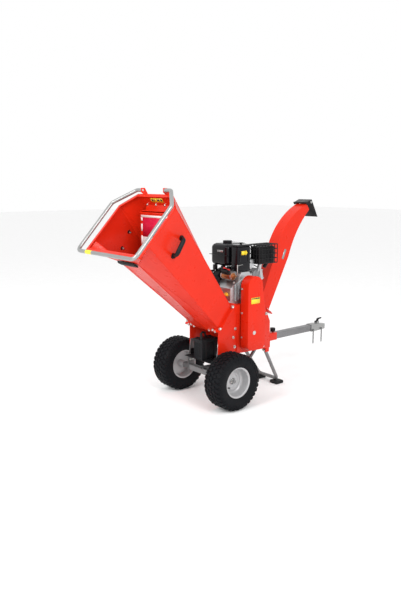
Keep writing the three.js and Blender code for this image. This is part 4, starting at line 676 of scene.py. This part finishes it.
# Engine: a bright cast crankcase and finned cylinder, a rounded black tank, a box air cleaner, a
# caged muffler, and the usual small parts, each held by its own screws.
dressed("crankcase", "crankcase_casting", cast_alloy, "chassis",
        0.003, 30, 3, turn=34)
dressed("cylinder", "cylinder_casting", cast_alloy, "chassis", 0.0008, 50, turn=34)
black_gloss = surface("black_gloss", (0.006, 0.006, 0.008), 0.12, coat=0.04, grain=(60, 0.01),
                      tone=0.1, shine=0.2)
tank_low, tank_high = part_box("fuel_tank")
tank_in = Vector((0.005, 0.005, 0))
tank = bmesh.new()
body_low, body_high = tank_low + tank_in, tank_high - tank_in
middle = (body_low + body_high) / 2
for vert in brick(tank, body_low, body_high, 0.030, 7):
    rise = (vert.co.z - middle.z) / (body_high.z - middle.z)
    vert.co.x = middle.x + (vert.co.x - middle.x) * (1 - 0.035 * rise * rise)
    vert.co.y = middle.y + (vert.co.y - middle.y) * (1 - 0.035 * rise * rise)
brick(tank, Vector((tank_low.x, tank_low.y, middle.z - 0.0022)),
      Vector((tank_high.x, tank_high.y, middle.z + 0.0022)), 0.0018, 3)
brick(tank, Vector((body_low.x + 0.030, body_low.y + 0.030, body_high.z - 0.004)),
      Vector((body_high.x - 0.030, body_high.y - 0.030, body_high.z + 0.0025)), 0.002, 3)
finished(tank, "tank_shells", black_gloss, "chassis", ["fuel_tank"], 50)
tank_label = bmesh.new()
side_x = body_low.x - 0.0012
label(tank_label, [Vector((side_x, 0.086, 1.064)), Vector((side_x, 0.022, 1.064)),
                   Vector((side_x, 0.022, 1.080)), Vector((side_x, 0.086, 1.080))])
finished(tank_label, "tank_label", zinc_bright, "chassis")
tank_mounts = bmesh.new()
for x in (tank_low.x + 0.014, tank_high.x - 0.014):
    for y in (tank_low.y + 0.055, tank_high.y - 0.055):
        brick(tank_mounts, Vector((x - 0.012, y - 0.014, 0.926)),
              Vector((x + 0.012, y + 0.014, tank_low.z + 0.004)), 0.002)
finished(tank_mounts, "tank_mounts", black_enamel, "chassis")

air_low, air_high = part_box("air_cleaner_base")
box = bmesh.new()
brick(box, air_low, air_high, 0.011, 5)
brick(box, Vector((air_low.x - 0.002, air_low.y - 0.002, air_low.z + 0.058)),
      Vector((air_high.x + 0.002, air_high.y + 0.002, air_low.z + 0.064)), 0.002, 3)
for x in (air_low.x + 0.024, air_high.x - 0.024):
    brick(box, Vector((x - 0.006, air_low.y - 0.003, air_low.z + 0.070)),
          Vector((x + 0.006, air_low.y + 0.002, air_high.z - 0.030)), 0.0015)
finished(box, "air_cleaner_case", black_gloss, "chassis", ["air_cleaner_base"], 50)
lid_low, lid_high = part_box("air_cleaner_lid")
lid = bmesh.new()
lid_top = lid_low.z + 0.014
brick(lid, Vector((lid_low.x, lid_low.y, lid_low.z + 0.0002)),
      Vector((lid_high.x, lid_high.y, lid_top)), 0.006, 4)
knob_at = Vector(((lid_low.x + lid_high.x) / 2, (lid_low.y + lid_high.y) / 2, 0))
turned(lid, [(0, 0), (0.009, 0), (0.009, 0.003), (0.0055, 0.005), (0.0055, 0.013), (0, 0.013)], 24,
       knob_at + Vector((0, 0, lid_top - 0.0005)), Vector((0, 0, 1)))
for sign in (-1, 1):
    brick(lid, knob_at + Vector((sign * 0.009 - 0.006, -0.0018, lid_top + 0.004)),
          knob_at + Vector((sign * 0.009 + 0.006, 0.0018, lid_top + 0.014)), 0.0014)
finished(lid, "air_cleaner_cover", black_gloss, "chassis", ["air_cleaner_lid"], 50)
air_label = bmesh.new()
label_y = air_low.y - 0.0034
for outline in (((0.250, 1.052), (0.292, 1.052), (0.292, 1.080), (0.250, 1.080)),
                ((0.292, 1.045), (0.310, 1.066), (0.292, 1.087))):
    label(air_label, [place(x, label_y, z) for x, z in outline])
finished(air_label, "air_cleaner_label", sticker_yellow, "chassis")

muffler_low, muffler_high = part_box("muffler")
can_low = Vector((muffler_low.x, muffler_low.y, 0.974))
can = bmesh.new()
brick(can, can_low, muffler_high, 0.012, 5)
can_mid = (can_low.y + muffler_high.y) / 2
brick(can, Vector((can_low.x - 0.003, can_mid - 0.0015, can_low.z - 0.003)),
      Vector((muffler_high.x + 0.003, can_mid + 0.0015, muffler_high.z + 0.003)), 0.001)
for share in (0.25, 0.5, 0.75):
    at = can_low.x + (muffler_high.x - can_low.x) * share
    brick(can, Vector((at - 0.007, can_low.y - 0.0025, can_low.z + 0.018)),
          Vector((at + 0.007, can_low.y + 0.004, muffler_high.z - 0.018)), 0.002, 3)
rod(can, Vector((muffler_high.x - 0.040, muffler_low.y + 0.040, can_low.z + 0.004)),
    Vector((muffler_high.x - 0.062, muffler_low.y + 0.050, muffler_low.z + 0.008)), 0.0145, 28)
finished(can, "muffler_can", black_enamel, "chassis", ["muffler"], 50)
cage_low, cage_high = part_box("muffler_guard")
cage = bmesh.new()
wire = 0.0028
corners_of = [(cage_low.x + wire, cage_low.y + wire), (cage_high.x - wire, cage_low.y + wire),
              (cage_high.x - wire, cage_high.y - wire), (cage_low.x + wire, cage_high.y - wire)]
levels = 5
for level in range(levels):
    z = cage_low.z + wire + (cage_high.z - cage_low.z - 2 * wire) * level / (levels - 1)
    for i in range(4):
        rod(cage, Vector((*corners_of[i], z)), Vector((*corners_of[(i + 1) % 4], z)), wire, 12)
for i in range(4):
    (x0, y0), (x1, y1) = corners_of[i], corners_of[(i + 1) % 4]
    steps = 4 if i % 2 else 6
    for k in range(steps):
        x, y = x0 + (x1 - x0) * k / steps, y0 + (y1 - y0) * k / steps
        rod(cage, Vector((x, y, cage_low.z + wire)), Vector((x, y, cage_high.z - wire)), wire, 12)
for k in range(1, 8):
    x = corners_of[0][0] + (corners_of[1][0] - corners_of[0][0]) * k / 8
    rod(cage, Vector((x, corners_of[0][1], cage_high.z - wire)),
        Vector((x, corners_of[2][1], cage_high.z - wire)), wire, 12)
finished(cage, "muffler_cage", black_enamel, "chassis", ["muffler_guard"], 50)
engine_bolts = bmesh.new()
crank_at = place(0.268, 0, 0.834)
bank = radians(12)
along, lift = Vector((cos(bank), 0, sin(bank))), Vector((-sin(bank), 0, cos(bank)))
for y in (-0.070, 0.020):
    for up in (-0.030, 0.032):
        bolt(engine_bolts, crank_at + along * 0.2492 + lift * up + Vector((0, y, 0)), along, 0.010,
             0.006, 0.008)
for i in range(8):
    a = 2 * pi * i / 8 + pi / 8
    seat = crank_at + Vector((0.098 * cos(a), -0.1200, 0.060 * sin(a)))
    if seat.z < 0.880:
        bolt(engine_bolts, seat, Vector((0, -1, 0)), 0.011, 0.007, 0.009)
for x in (0.150, 0.386):
    for y in (-0.108, 0.048):
        bolt(engine_bolts, place(x - 0.008, y, 0.7140), Vector((0, 0, 1)), 0.012, 0.008, 0.011)
for x in (0.200, 0.330):
    bolt(engine_bolts, place(x, -0.1200, 0.722), Vector((0, -1, 0)), 0.013, 0.006, 0.010)
finished(engine_bolts, "engine_bolts", plated_steel, "chassis")

# Engine trim: ribs over the recoil cover's screen, the starter's end caps and solenoid, hoses and
# leads, the governor's rod and arm, and the moulded caps, levers and switch.
fan_ribs = bmesh.new()
recoil_low, recoil_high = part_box("recoil_starter")
rec = Vector(((recoil_low.x + recoil_high.x) / 2, recoil_high.y, (recoil_low.z + recoil_high.z) / 2))
sunk = Vector((0, 0.001, 0))
for i in range(24):
    a = 2 * pi * i / 24
    radial = Vector((cos(a), 0, sin(a)))
    if radial.x < -0.35 and radial.z > 0.3:
        continue
    mid = rec + radial * 0.052
    rod(fan_ribs, mid - radial * 0.022 - sunk, mid + radial * 0.022 - sunk, 0.0028, 10)
turned(fan_ribs, [(0.022, -0.002), (0.030, -0.002), (0.030, 0.002), (0.026, 0.0035), (0.022, 0.002)],
       40, rec, Vector((0, 1, 0)))
finished(fan_ribs, "recoil_ribs", black_nylon, "chassis")
starter_bits = bmesh.new()
start_low, start_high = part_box("starter_motor")
core = Vector(((start_low.x + start_high.x) / 2, 0, (start_low.z + start_high.z) / 2))
for y in (-0.098, 0.000):
    turned(starter_bits, [(0.020, -0.004), (0.0285, -0.004), (0.0290, 0), (0.0285, 0.004),
                          (0.020, 0.004)], 36, core + Vector((0, y, 0)), Vector((0, 1, 0)))
for a in (0.6, 0.6 + pi):
    offset = Vector((cos(a), 0, sin(a))) * 0.024
    bolt(starter_bits, core + offset + Vector((0, -0.102, 0)), Vector((0, -1, 0)), 0.007, 0.004)
finished(starter_bits, "starter_end_caps", cast_alloy, "chassis")
solenoid = bmesh.new()
rod(solenoid, core + Vector((-0.030, -0.085, 0.030)), core + Vector((-0.030, -0.022, 0.030)), 0.016, 28)
rod(solenoid, core + Vector((-0.030, -0.090, 0.030)), core + Vector((-0.030, -0.083, 0.030)), 0.011, 20)
finished(solenoid, "starter_solenoid", black_enamel, "chassis")
carb_low, carb_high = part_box("carburettor")
pipe("fuel_hose", [Vector((carb_low.x + 0.020, carb_high.y - 0.004, carb_low.z + 0.020)),
                   Vector((carb_low.x + 0.020, carb_high.y + 0.030, carb_low.z + 0.010)),
                   Vector((carb_low.x - 0.020, carb_high.y + 0.042, carb_low.z + 0.004)),
                   Vector((carb_low.x - 0.030, carb_high.y + 0.042, tank_low.z + 0.004))],
     0.0045, soft_black, "chassis", bend=0.015, sides=16)
pipe("exhaust_pipe", [crank_at + along * 0.200 + Vector((0, -0.075, 0.040)),
                      crank_at + along * 0.214 + Vector((0, -0.088, 0.110)),
                      Vector((can_low.x + 0.060, can_low.y + 0.042, can_low.z + 0.010))],
     0.0165, cast_alloy, "chassis", bend=0.030, sides=28)
pipe("plug_lead", [crank_at + along * 0.150 + lift * 0.070 + Vector((0, 0.030, 0)),
                   crank_at + along * 0.190 + lift * 0.100 + Vector((0, 0.010, 0)),
                   crank_at + along * 0.255 + lift * 0.050 + Vector((0, -0.025, 0)),
                   crank_at + along * 0.246 + Vector((0, -0.025, 0.004))],
     0.0038, soft_black, "chassis", bend=0.020, sides=16)
governor = bmesh.new()
rod(governor, place(0.2050, -0.118, 0.905), place(0.2050, -0.126, 0.905), 0.008, 20)
brick(governor, place(0.2020, -0.1262, 0.902), place(0.2090, -0.1238, 0.985), 0.001)
rod(governor, place(0.2055, -0.125, 0.978), place(0.345, -0.100, 0.985), 0.0016, 10)
brick(governor, place(0.158, -0.080, 0.9265), place(0.215, -0.030, 0.9295), 0.001)
finished(governor, "governor_linkage", plated_steel, "chassis")
for node, body, edge in (("fuel_cap", "fuel_cap", 0.003), ("fan_housing", "chassis", 0.006),
                         ("recoil_starter", "chassis", 0.005), ("recoil_handle", "recoil_handle", 0.002),
                         ("switch_box", "chassis", 0.002), ("choke_lever", "choke_lever", 0.001),
                         ("clamp_knob", "clamp_knob", 0.002)):
    dressed(node, f"{node}_moulding", black_nylon, body, edge, 45, 3, turn=34)
bronze = surface("bronze", (0.42, 0.16, 0.06), 0.3, metallic=0.85, tone=0.15)
dressed("starter_motor", "starter_drum", bronze, "chassis", 0.002, 45, 3, turn=34)
dressed("carburettor", "carburettor_body", cast_alloy, "chassis", 0.0015, 45, turn=34)
signal_red = surface("signal_red", (0.6, 0.02, 0.015), 0.35, coat=0.2)
dressed("throttle_lever", "throttle_arm", signal_red, "throttle_lever",
        0.001, 45, turn=34)
filler_yellow = surface("filler_yellow", (0.85, 0.42, 0.02), 0.4)
dressed("dipstick", "oil_filler", filler_yellow, "dipstick", 0.001, 45, turn=34)
dressed("ignition_key", "switch_key", plated_steel, "ignition_key",
        0.0005, 45, turn=34)

# Battery: a ribbed black box with a lid, sitting in a tray of folded angle between the side
# plates, with two covered leads looping back into the chassis.
case_low, case_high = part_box("battery_box")
case = bmesh.new()
rim_z = case_high.z - 0.022
brick(case, case_low + Vector((0.003, 0.003, 0)),
      Vector((case_high.x - 0.003, case_high.y - 0.003, rim_z + 0.004)), 0.005, 3)
brick(case, Vector((case_low.x, case_low.y, rim_z)), case_high, 0.004, 3)
for k in range(7):
    at = case_low.y + 0.015 + k * (case_high.y - case_low.y - 0.030) / 6
    brick(case, Vector((case_low.x + 0.0008, at - 0.0018, case_low.z + 0.012)),
          Vector((case_low.x + 0.006, at + 0.0018, rim_z - 0.008)), 0.0008)
for k in range(9):
    at = case_low.x + 0.018 + k * (case_high.x - case_low.x - 0.036) / 8
    for y, into in ((case_low.y, 1), (case_high.y, -1)):
        side = sorted((y + into * 0.0008, y + into * 0.006))
        brick(case, Vector((at - 0.0018, side[0], case_low.z + 0.012)),
              Vector((at + 0.0018, side[1], rim_z - 0.008)), 0.0008)
finished(case, "battery_case", black_nylon, "chassis", ["battery_box"], 50)
boots = bmesh.new()
for x, y in ((-0.048, -0.026), (-0.040, -0.008)):
    turned(boots, [(0, 0), (0.0085, 0), (0.0085, 0.010), (0.0068, 0.020), (0.0062, 0.040),
                   (0.0048, 0.044), (0, 0.044)], 24, place(x, y, case_high.z), Vector((0, 0, 1)))
finished(boots, "lead_boots", soft_black, "chassis")
strap = bmesh.new()
near_y, far_y = case_low.y - 0.0016, case_high.y + 0.0016
for x in (-0.030, 0.058):
    for low_y, low_z, high_y in ((near_y, case_low.z + 0.002, case_low.y + 0.0006),
                                 (near_y, case_high.z - 0.0006, far_y),
                                 (case_high.y - 0.0006, case_low.z + 0.002, far_y)):
        brick(strap, place(x - 0.010, low_y, low_z), place(x + 0.010, high_y, case_high.z + 0.0014),
              0.0005)
finished(strap, "battery_straps", soft_black, "chassis")
dressed("battery_carrier", "battery_tray", black_enamel, "chassis", 0.001)
for name, x, y, top in (("live", -0.048, -0.026, 0.512), ("earth", -0.040, -0.008, 0.500)):
    route = [(x, 0.4554), (x, top), (x + 0.034, top - 0.006), (x + 0.040, 0.469), (x + 0.096, 0.467)]
    pipe(f"lead_{name}", [place(px, y, pz) for px, pz in route], 0.0045, soft_black, "chassis",
         [f"battery_lead_{name}"], bend=0.012, sides=16)

# Drawbar: a galvanised square tube sliding in the receiver, with a pressed ball coupler and latch
# at its end and two short safety chains.
dressed("drawbar", "drawbar_tube", galvanised, "drawbar", 0.003, 45, 3)
dressed("coupler_head", "ball_coupler", zinc_bright, "drawbar", 0.002, 35, 3, turn=34)
dressed("coupler_latch", "coupler_handle", black_enamel, "coupler_latch", 0.0015)
chain_steel = surface("chain_steel", (0.13, 0.13, 0.135), 0.4, metallic=0.8, tone=0.2)


def chain(name, top, length, body, node):
    """Welded links hung from a point, each turned a quarter from the one above."""
    bm = bmesh.new()
    wire, inner, pitch = 0.0022, 0.0066, 0.0150
    reach = pitch / 2 + wire * 0.6
    for i in range(int(length / pitch)):
        mid = top + Vector((0, 0, -(i + 0.5) * pitch))
        side = Vector((1, 0, 0)) if i % 2 else Vector((0, 1, 0))
        loop = []
        for k in range(20):
            a = 2 * pi * k / 20
            loop.append(mid + side * inner * cos(a) * 0.72 + Vector((0, 0, 1)) * (reach * sin(a)))
        for k in range(20):
            rod(bm, loop[k], loop[(k + 1) % 20], wire, 8)
    finished(bm, name, chain_steel, body, [node], 60)


for node in ("chain_front", "chain_rear"):
    low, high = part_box(node)
    top = Vector(((low.x + high.x) / 2, (low.y + high.y) / 2, high.z))
    chain(f"safety_{node}", top, high.z - low.z, node, node)

# Stand: a bent galvanised tube swung down under the receiver, with a thick rubber foot each side.
# It turns up about its top pins when the machine is towed.
stand_r = 0.0135
legs = [place(0.491, -0.135, 0.3105), place(0.668, -0.100, 0.0379), place(0.668, 0.100, 0.0379),
        place(0.491, 0.135, 0.3105)]
pipe("stand_tube", legs, stand_r, galvanised, "stand", ["stand_frame"],
     bend=0.030, sides=32)
stand_eyes = bmesh.new()
for sign in (-1, 1):
    eye = place(0.491, sign * 0.1365, 0.3105)
    rod(stand_eyes, eye - Vector((0, 0.0155, 0)), eye + Vector((0, 0.0155, 0)), 0.0155, 28)
    bolt(stand_eyes, eye + Vector((0, sign * 0.0140, 0)), Vector((0, sign, 0)), 0.013, 0.0065, 0.0)
finished(stand_eyes, "stand_pivots", plated_steel, "stand")
for side in ("near", "far"):
    dressed(f"stand_foot_{side}", f"stand_pad_{side}", soft_black, "stand", 0.004,
            45, 3)

# Studio: a wide pale floor under an even bright sky, with one large soft lamp high on the guard
# side and a weaker one filling in from the hopper end.
floor = bmesh.new()
bmesh.ops.create_grid(floor, x_segments=1, y_segments=1, size=30)
floor_mesh = bpy.data.meshes.new("floor")
floor.to_mesh(floor_mesh)
floor.free()
floor_object = bpy.data.objects.new("floor", floor_mesh)
bpy.context.scene.collection.objects.link(floor_object)
floor_paint = surface("floor_paint", (0.93, 0.93, 0.93), 0.8, grain=(30, 0.01), tone=0.01)
floor_mesh.materials.append(floor_paint)
world = bpy.data.worlds.new("studio")
world.use_nodes = True
world.node_tree.nodes["Background"].inputs["Color"].default_value = (1.0, 1.0, 1.0, 1)
world.node_tree.nodes["Background"].inputs["Strength"].default_value = 1.0
bpy.context.scene.world = world
bpy.context.scene.view_settings.view_transform = "Standard"
for name, spot, size, power in (("key", (-1.2, -4.4, 3.6), 2.0, 120),
                                ("fill", (-4.2, -0.4, 3.2), 2.2, 110)):
    lamp = bpy.data.lights.new(name, "AREA")
    lamp.shape = "DISK"
    lamp.size = size
    lamp.energy = power
    holder = bpy.data.objects.new(name, lamp)
    holder.location = spot
    holder.rotation_euler = (Vector((0, 0, 0.7)) - Vector(spot)).to_track_quat("-Z", "Y").to_euler()
    bpy.context.scene.collection.objects.link(holder)

bpy.context.view_layer.update()
